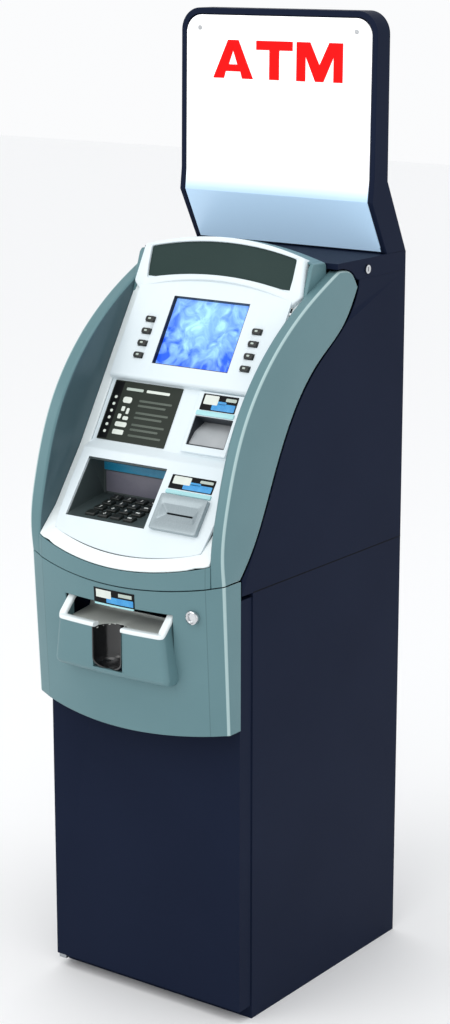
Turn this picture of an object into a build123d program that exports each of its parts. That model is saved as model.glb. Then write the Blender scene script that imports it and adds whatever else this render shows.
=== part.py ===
from build123d import *
import math
import os

# Free-standing retail cash machine. Origin at the centre of the safe's foot print, on the floor.
# +Z is up, the customer stands on the -Y side, +X is the customer's right hand. Millimetres.

# ---- cabinet ----
WIDTH = 440.0
BODY_DEPTH = 490.0
SAFE_HEIGHT = 820.0
CABINET_HEIGHT = 516.0
SAFE_WALL = 6.0
SHEET = 2.0
SHELF_HEIGHT = 300.0
SHELF_SET_BACK = 90.0
JAMB_WIDTH = 24.0
JAMB_THICK = 8.0
ANCHOR_X = 300.0
ANCHOR_Y = 340.0
ANCHOR_RADIUS = 7.0
VENT_COUNT = 6
VENT_PITCH = 14.0
VENT_SIZE = (160.0, 5.0)
INLET_SIZE = (36.0, 64.0)
INLET_PLUG = (27.2, 47.2)

# the places that the rest is measured from
half = WIDTH / 2
front = -BODY_DEPTH / 2
rear = BODY_DEPTH / 2
cabinet_top = SAFE_HEIGHT + CABINET_HEIGHT

# ---- safe door ----
DOOR_THICK = 34.0
DOOR_PLATE = 8.0
DOOR_GAP = 2.0
DOOR_BOTTOM = 26.0
DOOR_TOP_GAP = 8.0
HINGE_PIN_RADIUS = 5.0
HINGE_INSET = 7.0
RUNNING = 0.05
BOLT_RADIUS = 8.0
BOLT_TRAVEL = 21.2
BOLT_COUNT = 3
BOLT_LOW = 200.0
BOLT_BELOW_LOCK = 128.0
BOLT_BAR = (8.0, 8.0)
BOLT_GUIDE = 10.0
LOCK_X = half - 58.0
LOCK_Z = SAFE_HEIGHT - 32.0
LOCK_RADIUS = 10.0
CAM_PIN_RADIUS = 3.0

# ---- front fascia shape, seen from above and from the front ----
CREASE_X = half - 34.0
CORNER_Y = front - 83.0
CREASE_STEP = 13.0
BULGE = 25.0
FASCIA_WALL = 4.0
FASCIA_LEAN = 16.5
SEAM_CORNER_Z = SAFE_HEIGHT + 30.0
SEAM_CREASE_DROP = 8.0
SEAM_DIP = 18.0
SEAM_GAP = 2.0
FOOT_CORNER_Z = SAFE_HEIGHT - 248.0
FOOT_CREASE_DROP = 5.0
FOOT_DIP = 14.0

# ---- cash tray ----
TRAY_WIDTH = 244.0
TRAY_TOP_Z = SAFE_HEIGHT - 34.0
TRAY_BOTTOM_Z = TRAY_TOP_Z - 129.0
TRAY_FRONT_Y = CORNER_Y - CREASE_STEP - BULGE - 18.0
TRAY_RIM_DROP = 34.0
TRAY_WALL = 9.0
NOTCH_WIDTH = 62.0
NOTCH_BOTTOM_Z = TRAY_TOP_Z - 114.0
THROAT_WIDTH = 176.0
THROAT_HEIGHT = 22.0
THROAT_Z = TRAY_TOP_Z - 22.0

# ---- upper fascia ----
WING_THICK = 28.0
WING_SKIN = 4.0
PANEL_SLOPE = 31.5
SCREEN_Z = SAFE_HEIGHT + 420.0
SCREEN_Y = front + 142.0
SCREEN_WIDTH = 172.0
SCREEN_HEIGHT = 136.0
LOWER_SLOPE = 36.0
LOWER_Z = SAFE_HEIGHT + 149.0
LOWER_Y = front - 31.5
PANEL_WIDTH = WIDTH - 96.0
PANEL_SKIN = 5.0
TIER_STEP = 14.0
TIER_TOP_Z = SAFE_HEIGHT + 332.0
TIER_BOTTOM_Z = SAFE_HEIGHT + 220.0
TIER_STEP_FALL = 6.0
TIER_MARGIN = 3.0
BORDER_DROP = 9.0
LIP_FRONT_Z = SAFE_HEIGHT + 37.0
LIP_RISE = 26.0
FIT = 0.5
SEAM_CLEAR = 1.2
CABINET_SEAM = 1.5

# ---- keys ----
KEY_CLEAR = 0.4
KEY_TRAVEL = 2.0
FUNCTION_KEY = (20.0, 11.0)
FUNCTION_X = 121.0
FUNCTION_TOP = 16.4
FUNCTION_PITCH = 24.2
PAD_KEY = (22.0, 18.0)
PAD_PITCH_X = 29.0
PAD_PITCH_Y = 24.5
KEY_RISE = 5.0
KEY_ROOT = 5.0
KEY_FLANGE = 2.0

# ---- openings of the lower tier ----
POCKET_LEFT = -152.0
POCKET_RIGHT = 28.0
POCKET_BACK_Y = front + 45.0
POCKET_TOP_Z = SAFE_HEIGHT + 196.0
POCKET_FRONT_Z = SAFE_HEIGHT + 102.0
POCKET_TILT = 9.7
CARD_LEFT = 42.0
CARD_RIGHT = 146.0
CARD_TOP_Z = SAFE_HEIGHT + 158.0
CARD_BOTTOM_Z = SAFE_HEIGHT + 102.0
CARD_SLOT_WIDTH = 57.0
CARD_SLOT = 3.2

# ---- openings of the middle tier ----
INFO_LEFT = -162.0
INFO_RIGHT = -6.0
RECEIPT_LEFT = 34.0
RECEIPT_RIGHT = 134.0
RECEIPT_RIM = 8.0
RECEIPT_TOP_Z = SAFE_HEIGHT + 283.0
RECEIPT_BOTTOM_Z = SAFE_HEIGHT + 235.0
ROLL_RADIUS = 38.0
SPINDLE_RADIUS = 5.0

# ---- header ----
HEADER_SLOPE = 19.6
HEADER_Y = front + 201.0
HEADER_Z = SAFE_HEIGHT + 535.0
HEADER_DEPTH = 24.0
HOOD_REAR_Y = front + 259.0
HOOD_SIDE_Z = SAFE_HEIGHT + 554.0
HOOD_MIDDLE_Z = SAFE_HEIGHT + 582.0
HOOD_SKIN = 5.0

# ---- topper sign ----
TOPPER_BASE = 36.0
SIGN_TOP = cabinet_top + TOPPER_BASE + 440.0
SIGN_THICK = 47.0
SIGN_FRONT_Y = rear - 114.0
SIGN_BEND_Z = cabinet_top + TOPPER_BASE + 120.0
SIGN_FOOT_Y = rear - 66.0
SIGN_CORNER = 42.0
SIGN_SHEET = 3.0
SIGN_RIM = 11.0
FACE_THICK = 4.0
FACE_SET_BACK = 0.6
LETTER_HEIGHT = 71.0
LETTER_FOOT_Z = SIGN_TOP - 129.0
LETTER_STROKE = 22.0
LETTER_THICK = 1.5
SCREW_RADIUS = 4.5
SCREW_X = half - 44.0
LAMP_RADIUS = 9.0
LAMP_CAP_RADIUS = 12.0

# ---- running gear and what the cabinet holds ----
RAIL_Z = SAFE_HEIGHT + 85.0
RAIL_HEIGHT = 30.0
RAIL_SHEET = 3.0
FRAME_HALF = 108.0
FRAME_SHEET = 3.0
ROLLER_RADIUS = 15.0
ROLLER_SHAFT = 4.0
CASSETTE_HALF = 95.0
CASSETTE_HEIGHT = 150.0
SIDE_LOCK_RADIUS = 8.0

# worked out from the sizes above
base_top = cabinet_top + TOPPER_BASE
door_back = front - DOOR_GAP
door_front = door_back - DOOR_THICK
door_top = SAFE_HEIGHT - DOOR_TOP_GAP
hinge_x = -half + HINGE_INSET
hinge_y = (door_front + door_back) / 2
crease_y = CORNER_Y - CREASE_STEP
centre_y = crease_y - BULGE
wing_inner = half - WING_THICK
panel_half = PANEL_WIDTH / 2
bolt_y = front + 24.0
bolt_step = (LOCK_Z - BOLT_BELOW_LOCK - BOLT_LOW) / (BOLT_COUNT - 1)
bolt_heights = [BOLT_LOW + bolt_step * row for row in range(BOLT_COUNT)]
cam_y = door_front + DOOR_PLATE + 16.0
cam_radius = BOLT_TRAVEL / 2 / math.sin(math.radians(45))
cam_drop = cam_radius * math.cos(math.radians(45))
inlet_x = -half + 70.0
inlet_z = SAFE_HEIGHT + 50.0
roller_y = front + 49.0
hood_front = HEADER_Y + 14.0
lock_side_y = rear - 133.0
lock_side_z = base_top - 20.0
sign_lean = 4.0 / (SIGN_TOP - SIGN_BEND_Z - 20.0)


def block(x0, x1, y0, y1, z0, z1):
    """A box between two corners."""
    centre = Pos((x0 + x1) / 2, (y0 + y1) / 2, (z0 + z1) / 2)
    return centre * Box(x1 - x0, y1 - y0, z1 - z0)


def side_prism(face, x0, x1):
    """A side-view outline, drawn in Y and Z, pulled from x0 to x1."""
    return extrude(Plane.YZ.offset(x0) * face, x1 - x0)


def outline(points):
    """A flat face inside straight runs between the points."""
    return make_face(Polyline(*points, close=True))


def front_prism(face, y0, y1):
    """A front-view outline, drawn in X and Z, pulled from y0 back to y1."""
    return extrude(Plane.XZ.offset(-y1) * face, y1 - y0)


def tilted(y, z, slope):
    """A plane on the fascia: X stays X, its own Y runs up the slope, its normal faces the customer."""
    angle = math.radians(slope)
    normal = (0, -math.cos(angle), math.sin(angle))
    return Plane(origin=(0, y, z), x_dir=(1, 0, 0), z_dir=normal)


def along_y(x, y0, y1, z, radius):
    """A round bar along Y."""
    return Pos(x, (y0 + y1) / 2, z) * Rot(90, 0, 0) * Cylinder(radius, y1 - y0)


def along_x(x0, x1, y, z, radius):
    """A round bar along X."""
    return Pos((x0 + x1) / 2, y, z) * Rot(0, 90, 0) * Cylinder(radius, x1 - x0)


def upright(x, y, z0, z1, radius):
    """A round bar along Z."""
    return Pos(x, y, (z0 + z1) / 2) * Cylinder(radius, z1 - z0)


def at(y, z):
    """A side-view point measured from the top front edge of the safe."""
    return (front + y, SAFE_HEIGHT + z)


screen_plane = tilted(SCREEN_Y, SCREEN_Z, PANEL_SLOPE)
middle_plane = screen_plane.offset(-TIER_STEP)
lower_plane = tilted(LOWER_Y, LOWER_Z, LOWER_SLOPE)
header_plane = tilted(HEADER_Y, HEADER_Z, HEADER_SLOPE)
screen_run = math.tan(math.radians(PANEL_SLOPE))
lower_run = math.tan(math.radians(LOWER_SLOPE))


def screen_surface(z, behind=0.0):
    """Y of the screen tier's front at height z, moved straight back by a normal distance."""
    return SCREEN_Y + screen_run * (z - SCREEN_Z) + behind / math.cos(math.radians(PANEL_SLOPE))


def lower_surface(z, behind=0.0):
    """Y of the keypad tier's front at height z."""
    return LOWER_Y + lower_run * (z - LOWER_Z) + behind / math.cos(math.radians(LOWER_SLOPE))


def up_lower(z):
    """Distance up the keypad tier of a point at height z."""
    return (z - LOWER_Z) / math.cos(math.radians(LOWER_SLOPE))


def up_middle(z):
    """Distance up the middle tier of a point at height z."""
    drop = TIER_STEP * math.sin(math.radians(PANEL_SLOPE))
    return (z - SCREEN_Z + drop) / math.cos(math.radians(PANEL_SLOPE))


# the two front tiers meet where their surfaces cross
tier_cross_z = (LOWER_Y - SCREEN_Y + screen_run * SCREEN_Z - lower_run * LOWER_Z) / (screen_run - lower_run)
middle_z_range = (TIER_BOTTOM_Z + TIER_MARGIN, TIER_TOP_Z - TIER_MARGIN - TIER_STEP_FALL)

# the paper roll hangs behind the printer
roll_y = screen_surface(RECEIPT_TOP_Z, TIER_STEP) + 106.0
roll_z = RECEIPT_BOTTOM_Z + 12.0

# the card slot's middle on the keypad tier's plane
card_place = Pos((CARD_LEFT + CARD_RIGHT) / 2, (up_lower(CARD_TOP_Z) + up_lower(CARD_BOTTOM_Z)) / 2)

# the floor of the keypad's pocket rises a little towards its back
pocket_x = (POCKET_LEFT + POCKET_RIGHT) / 2
pad_tilt = math.radians(POCKET_TILT)
pad_front_y = lower_surface(POCKET_FRONT_Z)
pad_back_z = POCKET_FRONT_Z + (POCKET_BACK_Y - pad_front_y) * math.tan(pad_tilt)
pad_plane = Plane(
    origin=(pocket_x, (pad_front_y + POCKET_BACK_Y) / 2, (POCKET_FRONT_Z + pad_back_z) / 2),
    x_dir=(1, 0, 0), z_dir=(0, -math.sin(pad_tilt), math.cos(pad_tilt)),
)

# ---------------------------------------------------------------- shared outlines


def plan(inset, back_y, shift=0.0):
    """The fascia seen from above: a bulged front between two creases, and straight corner facets."""
    x_side = half - inset
    x_crease = CREASE_X - inset * 0.3
    y_corner = CORNER_Y + shift + inset
    y_crease = crease_y + shift + inset
    bow = ThreePointArc((-x_crease, y_crease), (0, centre_y + shift + inset), (x_crease, y_crease))
    ring = Polyline(
        (x_crease, y_crease), (x_side, y_corner), (x_side, back_y),
        (-x_side, back_y), (-x_side, y_corner), (-x_crease, y_crease),
    )
    return make_face(Curve() + [bow, ring])


def below_curve(corner_z, crease_drop, dip, far_z):
    """Front-view region between a drooping seam and a far level line."""
    wide = half + 10
    crease_z = corner_z - crease_drop
    bow = ThreePointArc((-CREASE_X, crease_z), (0, crease_z - dip), (CREASE_X, crease_z))
    ring = Polyline(
        (CREASE_X, crease_z), (half, corner_z), (wide, corner_z),
        (wide, far_z), (-wide, far_z), (-wide, corner_z),
        (-half, corner_z), (-CREASE_X, crease_z),
    )
    return make_face(Curve() + [bow, ring])


# a wing's rear edge from its shoulder down to the cabinet's front corner
wing_rear = [at(329, 502), at(287, 441), at(202, 380), at(120, 293), at(56, 177), at(-7, 64)]


def wing_outline():
    """Side view of a wing: a swept front edge, a rounded shoulder and the seam with the cabinet."""
    front_edge = Spline(
        (CORNER_Y, SEAM_CORNER_Z), at(-88, 75), at(-73, 172), at(-28, 293), at(53, 401), at(170, 489),
        at(267, 538),
    )
    shoulder = Spline(at(267, 538), at(307, 531), wing_rear[0])
    rear_edge = Spline(*wing_rear, (door_front, SEAM_CORNER_Z))
    foot = Line((door_front, SEAM_CORNER_Z), (CORNER_Y, SEAM_CORNER_Z))
    return make_face(Curve() + [front_edge, shoulder, rear_edge, foot])


def header_outline(grow=0.0):
    """The header's outer shape on its own sloping plane."""
    top_x, side_x, leg_x = wing_inner - 11 + grow, wing_inner - 2 + grow, wing_inner - 22 + grow
    lip_x = wing_inner - 34
    top_v, leg_v, lip_v = 31 + grow, -61 - grow, -49 - grow
    top = ThreePointArc((-top_x, top_v), (0, top_v + 26), (top_x, top_v))
    right = Polyline((top_x, top_v), (side_x, -41), (leg_x, leg_v), (lip_x, lip_v))
    bottom = ThreePointArc((lip_x, lip_v), (0, lip_v + 22), (-lip_x, lip_v))
    left = Polyline((-lip_x, lip_v), (-leg_x, leg_v), (-side_x, -41), (-top_x, top_v))
    return make_face(Curve() + [top, right, bottom, left])


def window_outline(grow=0.0):
    """The arched window on the header's plane."""
    top_x, foot_x = wing_inner - 28 + grow, wing_inner - 31 + grow
    top_v, foot_v = 28 + grow, -32 - grow
    top = ThreePointArc((-top_x, top_v), (0, top_v + 19), (top_x, top_v))
    right = Line((top_x, top_v), (foot_x, foot_v))
    bottom = ThreePointArc((foot_x, foot_v), (0, foot_v + 17), (-foot_x, foot_v))
    left = Line((-foot_x, foot_v), (-top_x, top_v))
    return make_face(Curve() + [top, right, bottom, left])


# ---------------------------------------------------------------- safe


def make_safe_body():
    """Welded box, open at the front, with a jamb ring, a shelf and four anchor holes."""
    shell = block(-half, half, front, rear, 0, SAFE_HEIGHT)
    inner = half - SAFE_WALL
    shell -= block(-inner, inner, front - 1, rear - SAFE_WALL, SAFE_WALL, SAFE_HEIGHT - SAFE_WALL)
    jamb = block(-inner, inner, front, front + JAMB_THICK, SAFE_WALL, SAFE_HEIGHT - SAFE_WALL)
    way = inner - JAMB_WIDTH
    sill = SAFE_WALL + JAMB_WIDTH
    jamb -= block(-way, way, front - 1, front + JAMB_THICK + 1, sill, SAFE_HEIGHT - sill)
    shelf_front = front + SHELF_SET_BACK
    shelf = block(-inner, inner, shelf_front, rear - SAFE_WALL, SHELF_HEIGHT, SHELF_HEIGHT + SAFE_WALL)
    shell += jamb
    shell += shelf
    for x in (-ANCHOR_X / 2, ANCHOR_X / 2):
        for y in (-ANCHOR_Y / 2, ANCHOR_Y / 2):
            shell -= upright(x, y, -1, SAFE_WALL + 1, ANCHOR_RADIUS)
    return shell


def make_hinge_pivots():
    """Two welded lugs, below and above the door, each with a pin into the door's corner block."""
    lugs = []
    reach = HINGE_INSET + 10
    spans = (
        (DOOR_BOTTOM - 12, DOOR_BOTTOM - 2, DOOR_BOTTOM - 2, DOOR_BOTTOM + 24),
        (door_top + DOOR_GAP, SAFE_HEIGHT, door_top - 24, door_top + DOOR_GAP),
    )
    for low, high, pin_low, pin_high in spans:
        lug = block(-half, -half + reach, hinge_y - 9, front, low, high)
        lug += upright(hinge_x, hinge_y, pin_low, pin_high, HINGE_PIN_RADIUS)
        lugs.append(lug)
    return Compound(lugs)


def make_safe_door():
    """Pressed pan with a thick front plate, corner blocks for the pins and guides for three bolts."""
    edge = half - 2
    pan = block(-edge, edge, door_front, door_back, DOOR_BOTTOM, door_top)
    pan -= block(
        -edge + SAFE_WALL, edge - SAFE_WALL, door_front + DOOR_PLATE, door_back + 1,
        DOOR_BOTTOM + SAFE_WALL, door_top - SAFE_WALL,
    )
    for low, high in ((DOOR_BOTTOM, DOOR_BOTTOM + 40), (door_top - 40, door_top)):
        pan += block(-edge, hinge_x + 10, door_front + 1, door_back, low, high)
        pan -= upright(hinge_x, hinge_y, low - 1, high + 1, HINGE_PIN_RADIUS + RUNNING)
    for z in bolt_heights:
        for x in (half - 102, half - 48):
            guide = block(x, x + BOLT_GUIDE, door_front + DOOR_PLATE, bolt_y + 14, z - 14, z + 14)
            pan += guide - along_x(x - 1, x + BOLT_GUIDE + 1, bolt_y, z, BOLT_RADIUS + RUNNING)
    throat = THROAT_WIDTH / 2
    pan -= block(
        -throat, throat, door_front - 1, door_front + DOOR_PLATE + 1,
        THROAT_Z - THROAT_HEIGHT / 2, THROAT_Z + THROAT_HEIGHT / 2,
    )
    pan -= along_y(LOCK_X, door_front - 1, door_front + DOOR_PLATE + 1, LOCK_Z, LOCK_RADIUS + FIT)
    pan -= block(LOCK_X - 22, LOCK_X + 22, door_front + DOOR_PLATE, door_back + 1, LOCK_Z - 22, LOCK_Z + 21)
    return pan


def make_bolt_bar():
    """A flat bar with three round bolts, drawn back, and a head with a slot for the cam's pin."""
    x_mid = LOCK_X - BOLT_TRAVEL / 2
    y0, y1 = bolt_y - BOLT_BAR[1] / 2, bolt_y + BOLT_BAR[1] / 2
    bar = block(x_mid - 9, x_mid - 9 + BOLT_BAR[0], y0, y1, BOLT_LOW - 30, LOCK_Z - 20)
    bar += block(x_mid - 9, x_mid + 9, y0, y1, LOCK_Z - 24, LOCK_Z - 2)
    slot_half = CAM_PIN_RADIUS + 1
    slot_z = (LOCK_Z - cam_radius - slot_half - 0.5, LOCK_Z - cam_drop + slot_half + 0.5)
    bar -= block(x_mid - slot_half, x_mid + slot_half, y0 - 1, y1 + 1, *slot_z)
    for z in bolt_heights:
        bar += along_x(half - 126, half - 38, bolt_y, z, BOLT_RADIUS)
    return bar


def make_lock_plug():
    """Key plug in the fascia, with its spindle, its cam disc and the cam's pin in the bolt bar's slot."""
    face_y = crease_y - 5
    plug = along_y(LOCK_X, face_y, face_y + 22, LOCK_Z, LOCK_RADIUS)
    plug -= block(LOCK_X - 1.2, LOCK_X + 1.2, face_y - 1, face_y + 8, LOCK_Z - 5, LOCK_Z + 5)
    plug += along_y(LOCK_X, face_y + 20, cam_y, LOCK_Z, 6)
    plug += along_y(LOCK_X, cam_y - 5, cam_y, LOCK_Z, cam_radius + 5)
    pin_x = LOCK_X - BOLT_TRAVEL / 2
    plug += along_y(pin_x, cam_y, bolt_y + 3, LOCK_Z - cam_drop, CAM_PIN_RADIUS)
    return plug


# ---------------------------------------------------------------- middle fascia and cash tray


def make_mid_fascia():
    """Moulded cover on the door, leaning back towards its foot, with a hole for the cash tray."""
    foot_z = FOOT_CORNER_Z - FOOT_CREASE_DROP - FOOT_DIP - 6
    rim_y = door_front

    def solid(inset, back_y):
        top = Plane.XY.offset(SEAM_CORNER_Z) * plan(inset, back_y)
        foot = Plane.XY.offset(foot_z) * plan(inset, back_y, FASCIA_LEAN)
        return loft([foot, top], ruled=True)

    cover = solid(0, rim_y)
    cover -= solid(FASCIA_WALL, rim_y + 1)
    keep = below_curve(SEAM_CORNER_Z - SEAM_GAP, SEAM_CREASE_DROP, SEAM_DIP, foot_z - 50)
    keep -= below_curve(FOOT_CORNER_Z, FOOT_CREASE_DROP, FOOT_DIP, foot_z - 50)
    cover &= front_prism(keep, centre_y - 50, rim_y + 50)
    tray_half = TRAY_WIDTH / 2 + FIT
    cover -= block(-tray_half, tray_half, centre_y - 50, rim_y - 1, TRAY_BOTTOM_Z - FIT, TRAY_TOP_Z + FIT)
    cover -= along_y(LOCK_X, centre_y, rim_y, LOCK_Z, LOCK_RADIUS + FIT)
    post_z = FOOT_CORNER_Z + 28
    for x in (-half + 70, half - 70):
        cover += block(x - 10, x + 10, centre_y - 20, rim_y, post_z, post_z + 30) & solid(1, rim_y)
    return cover


def make_cash_tray():
    """Open tray that stands out of the fascia, with sloping arms and a round finger scoop in front."""
    side = TRAY_WIDTH / 2
    back_y = door_front
    rim_z = TRAY_TOP_Z - TRAY_RIM_DROP
    body = side_prism(outline([
        (back_y, TRAY_TOP_Z), (centre_y + 14, TRAY_TOP_Z), (TRAY_FRONT_Y, rim_z),
        (TRAY_FRONT_Y, TRAY_BOTTOM_Z + 26), (TRAY_FRONT_Y + 22, TRAY_BOTTOM_Z),
        (back_y - 30, TRAY_BOTTOM_Z), (back_y, TRAY_BOTTOM_Z + 30),
    ]), -side, side)
    inner = side - TRAY_WALL
    front_in = TRAY_FRONT_Y + TRAY_WALL
    floor_z = THROAT_Z - THROAT_HEIGHT / 2 - 1
    body -= side_prism(outline([
        (back_y - 6, TRAY_TOP_Z - 5), (centre_y + 16, TRAY_TOP_Z - 5), (centre_y - 4, TRAY_TOP_Z + 20),
        (TRAY_FRONT_Y - 30, TRAY_TOP_Z), (TRAY_FRONT_Y - 30, rim_z), (front_in, rim_z),
        (front_in, rim_z - 10), (back_y - 6, floor_z),
    ]), -inner, inner)
    scoop = NOTCH_WIDTH / 2
    scoop_y = TRAY_FRONT_Y + 6
    behind = scoop_y + scoop + 11
    body -= side_prism(outline([
        (behind, rim_z - 13), (back_y + 1, floor_z - 6), (back_y + 1, TRAY_BOTTOM_Z + 36),
        (back_y - 34, TRAY_BOTTOM_Z + 7), (behind, TRAY_BOTTOM_Z + 7),
    ]), -inner, inner)
    beside = outline([
        (front_in, rim_z - 16), (behind + 1, rim_z - 13), (behind + 1, TRAY_BOTTOM_Z + 7),
        (TRAY_FRONT_Y + 26, TRAY_BOTTOM_Z + 7), (front_in, TRAY_BOTTOM_Z + 28),
    ])
    for x0, x1 in ((-inner, -scoop - 7), (scoop + 7, inner)):
        body -= side_prism(beside, x0, x1)
    body -= upright(0, scoop_y, NOTCH_BOTTOM_Z, rim_z + 10, scoop)
    throat = THROAT_WIDTH / 2
    body -= block(
        -throat, throat, back_y - 12, back_y + 1,
        THROAT_Z - THROAT_HEIGHT / 2, THROAT_Z + THROAT_HEIGHT / 2,
    )
    return body


# ---------------------------------------------------------------- upper cabinet


def cabinet_side():
    """Side view of the upper cabinet, whose front edge follows the wing's seam."""
    seam = [(y + CABINET_SEAM, z - CABINET_SEAM) for y, z in wing_rear]
    foot_y = door_front + 3
    edge = Spline(*seam, (foot_y, SEAM_CORNER_Z))
    ring = Polyline(
        (foot_y, SEAM_CORNER_Z), (foot_y, SAFE_HEIGHT), (rear, SAFE_HEIGHT), (rear, cabinet_top),
        (seam[0][0] + 1, cabinet_top), seam[0],
    )
    return make_face(Curve() + [edge, ring])


def make_upper_cabinet():
    """Folded sheet cabinet, open at the front, with vent slots and an inlet hole at the back."""
    shell = side_prism(cabinet_side(), -half, half)
    inner = half - SHEET
    shell -= block(-inner, inner, door_front - 50, rear - SHEET, SAFE_HEIGHT + SHEET, cabinet_top - SHEET)
    for row in range(VENT_COUNT):
        z = cabinet_top - 56 - row * VENT_PITCH
        wide = VENT_SIZE[0] / 2
        shell -= block(-wide, wide, rear - SHEET - 1, rear + 1, z, z + VENT_SIZE[1])
    hole_x, hole_z = INLET_PLUG[0] / 2 + KEY_CLEAR, INLET_PLUG[1] / 2 + KEY_CLEAR
    shell -= block(
        inlet_x - hole_x, inlet_x + hole_x, rear - SHEET - 1, rear + 1, inlet_z - hole_z, inlet_z + hole_z
    )
    return shell


def make_power_inlet():
    """Mains inlet with a flange on the outside of the back and a socket with three blades."""
    wide, tall = INLET_SIZE[0] / 2, INLET_SIZE[1] / 2
    body = block(inlet_x - wide, inlet_x + wide, rear, rear + 3, inlet_z - tall, inlet_z + tall)
    wide, tall = INLET_PLUG[0] / 2, INLET_PLUG[1] / 2
    body += block(inlet_x - wide, inlet_x + wide, rear - 30, rear, inlet_z - tall, inlet_z + tall)
    body -= block(inlet_x - 9, inlet_x + 9, rear - 22, rear + 4, inlet_z - 13, inlet_z + 13)
    for x, z in ((0, 6), (-5, -5), (5, -5)):
        body += block(inlet_x + x - 1, inlet_x + x + 1, rear - 23, rear - 4, inlet_z + z - 2, inlet_z + z + 2)
    return body


def sheet_box(x0, x1, y0, y1, top):
    """A closed box of thin sheet that stands on the cabinet's floor."""
    foot = SAFE_HEIGHT + SHEET
    box = block(x0, x1, y0, y1, foot, top)
    return box - block(x0 + SHEET, x1 - SHEET, y0 + SHEET, y1 - SHEET, foot + SHEET, top - SHEET)


def make_computer_box():
    """Sheet box for the control board, on the cabinet's floor, with a row of vent slots in its front."""
    box = sheet_box(half - 280, half - 40, rear - 175, rear - 20, SAFE_HEIGHT + 190)
    for row in range(5):
        z = SAFE_HEIGHT + 130 + row * 10
        box -= block(half - 200, half - 60, rear - 176, rear - 174 + SHEET, z, z + 5)
    return box


def make_power_supply():
    """Sheet box beside the computer, with a window for its terminals in the front."""
    box = sheet_box(-half + 30, -half + 130, rear - 175, rear - 40, SAFE_HEIGHT + 105)
    window_z = SAFE_HEIGHT + SHEET + 12
    return box - block(-half + 45, -half + 115, rear - 176, rear - 174 + SHEET, window_z, window_z + 18)


def make_cabinet_rails():
    """Two channels on the cabinet's side walls."""
    rails = []
    wall = half - SHEET
    low, high = RAIL_Z - RAIL_SHEET, RAIL_Z + RAIL_HEIGHT + RAIL_SHEET
    for side in (-1, 1):
        xs = sorted((side * wall, side * (wall - 14)))
        web = sorted((side * (wall - RAIL_SHEET), side * (wall - 15)))
        rail = block(xs[0], xs[1], front + 40, rear - 20, low, high)
        rail -= block(web[0], web[1], front + 39, rear - 19, RAIL_Z, RAIL_Z + RAIL_HEIGHT)
        rails.append(rail)
    return Compound(rails)


def make_fascia_rails():
    """Two bars that run in the channels and bolt to the inside of the wings."""
    rails = []
    wall = half - SHEET - RAIL_SHEET - FIT
    low, high = RAIL_Z + FIT, RAIL_Z + RAIL_HEIGHT - FIT
    for side in (-1, 1):
        xs = sorted((side * (wing_inner + WING_SKIN), side * wall))
        rails.append(block(xs[0], xs[1], front - 45, front + 385, low, high))
    return Compound(rails)


# ---------------------------------------------------------------- safe contents


def make_dispenser_frame():
    """Two side plates on a base plate, tied at the top, that hold the cassette and the feed roller."""
    floor = SHELF_HEIGHT + SAFE_WALL
    y0, y1 = front + 105, rear - 35
    inner = FRAME_HALF - FRAME_SHEET
    frame = block(-FRAME_HALF, FRAME_HALF, y0, y1, floor, floor + FRAME_SHEET)
    plate = outline([
        (y0, floor), (y1, floor), (y1, THROAT_Z - 4), (front + 30, THROAT_Z + 26),
        (front + 30, THROAT_Z - 24), (y0, THROAT_Z - 74),
    ])
    for side in (-1, 1):
        xs = sorted((side * inner, side * FRAME_HALF))
        frame += side_prism(plate, xs[0], xs[1])
    tie_z = THROAT_Z - 29
    frame += block(-inner, inner, y0 + 40, y1 - 30, tie_z, tie_z + FRAME_SHEET)
    frame += block(-inner, inner, y1 - FRAME_SHEET, y1, floor, tie_z)
    frame += block(-inner, inner, y0 + 80, y1 - 30, floor + 254, floor + 254 + FRAME_SHEET)
    return frame - along_x(-FRAME_HALF - 5, FRAME_HALF + 5, roller_y, THROAT_Z, ROLLER_SHAFT + RUNNING)


def make_feed_roller():
    """A steel shaft with four rubber-tyred wheels that push notes out of the throat."""
    roller = along_x(-FRAME_HALF - 2, FRAME_HALF + 2, roller_y, THROAT_Z, ROLLER_SHAFT)
    for x in (-75, -25, 25, 75):
        roller += along_x(x - 8, x + 8, roller_y, THROAT_Z, ROLLER_RADIUS)
    return roller


def make_cash_cassette():
    """Lidded note box with a recessed grip at the front."""
    floor = SHELF_HEIGHT + SAFE_WALL + FRAME_SHEET
    y0, y1 = front + 115, rear - 55
    grip_z, grip_half = floor + 84, 60
    box = block(-CASSETTE_HALF, CASSETTE_HALF, y0, y1, floor, floor + CASSETTE_HEIGHT)
    box -= block(-grip_half - 10, grip_half + 10, y0 - 1, y0 + 12, floor + 60, floor + 120)
    box += block(-grip_half, grip_half, y0, y0 + 6, grip_z, grip_z + 14)
    for x in (-grip_half, grip_half - 6):
        box += block(x, x + 6, y0, y0 + 13, grip_z, grip_z + 14)
    return box


# ---------------------------------------------------------------- upper fascia


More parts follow.
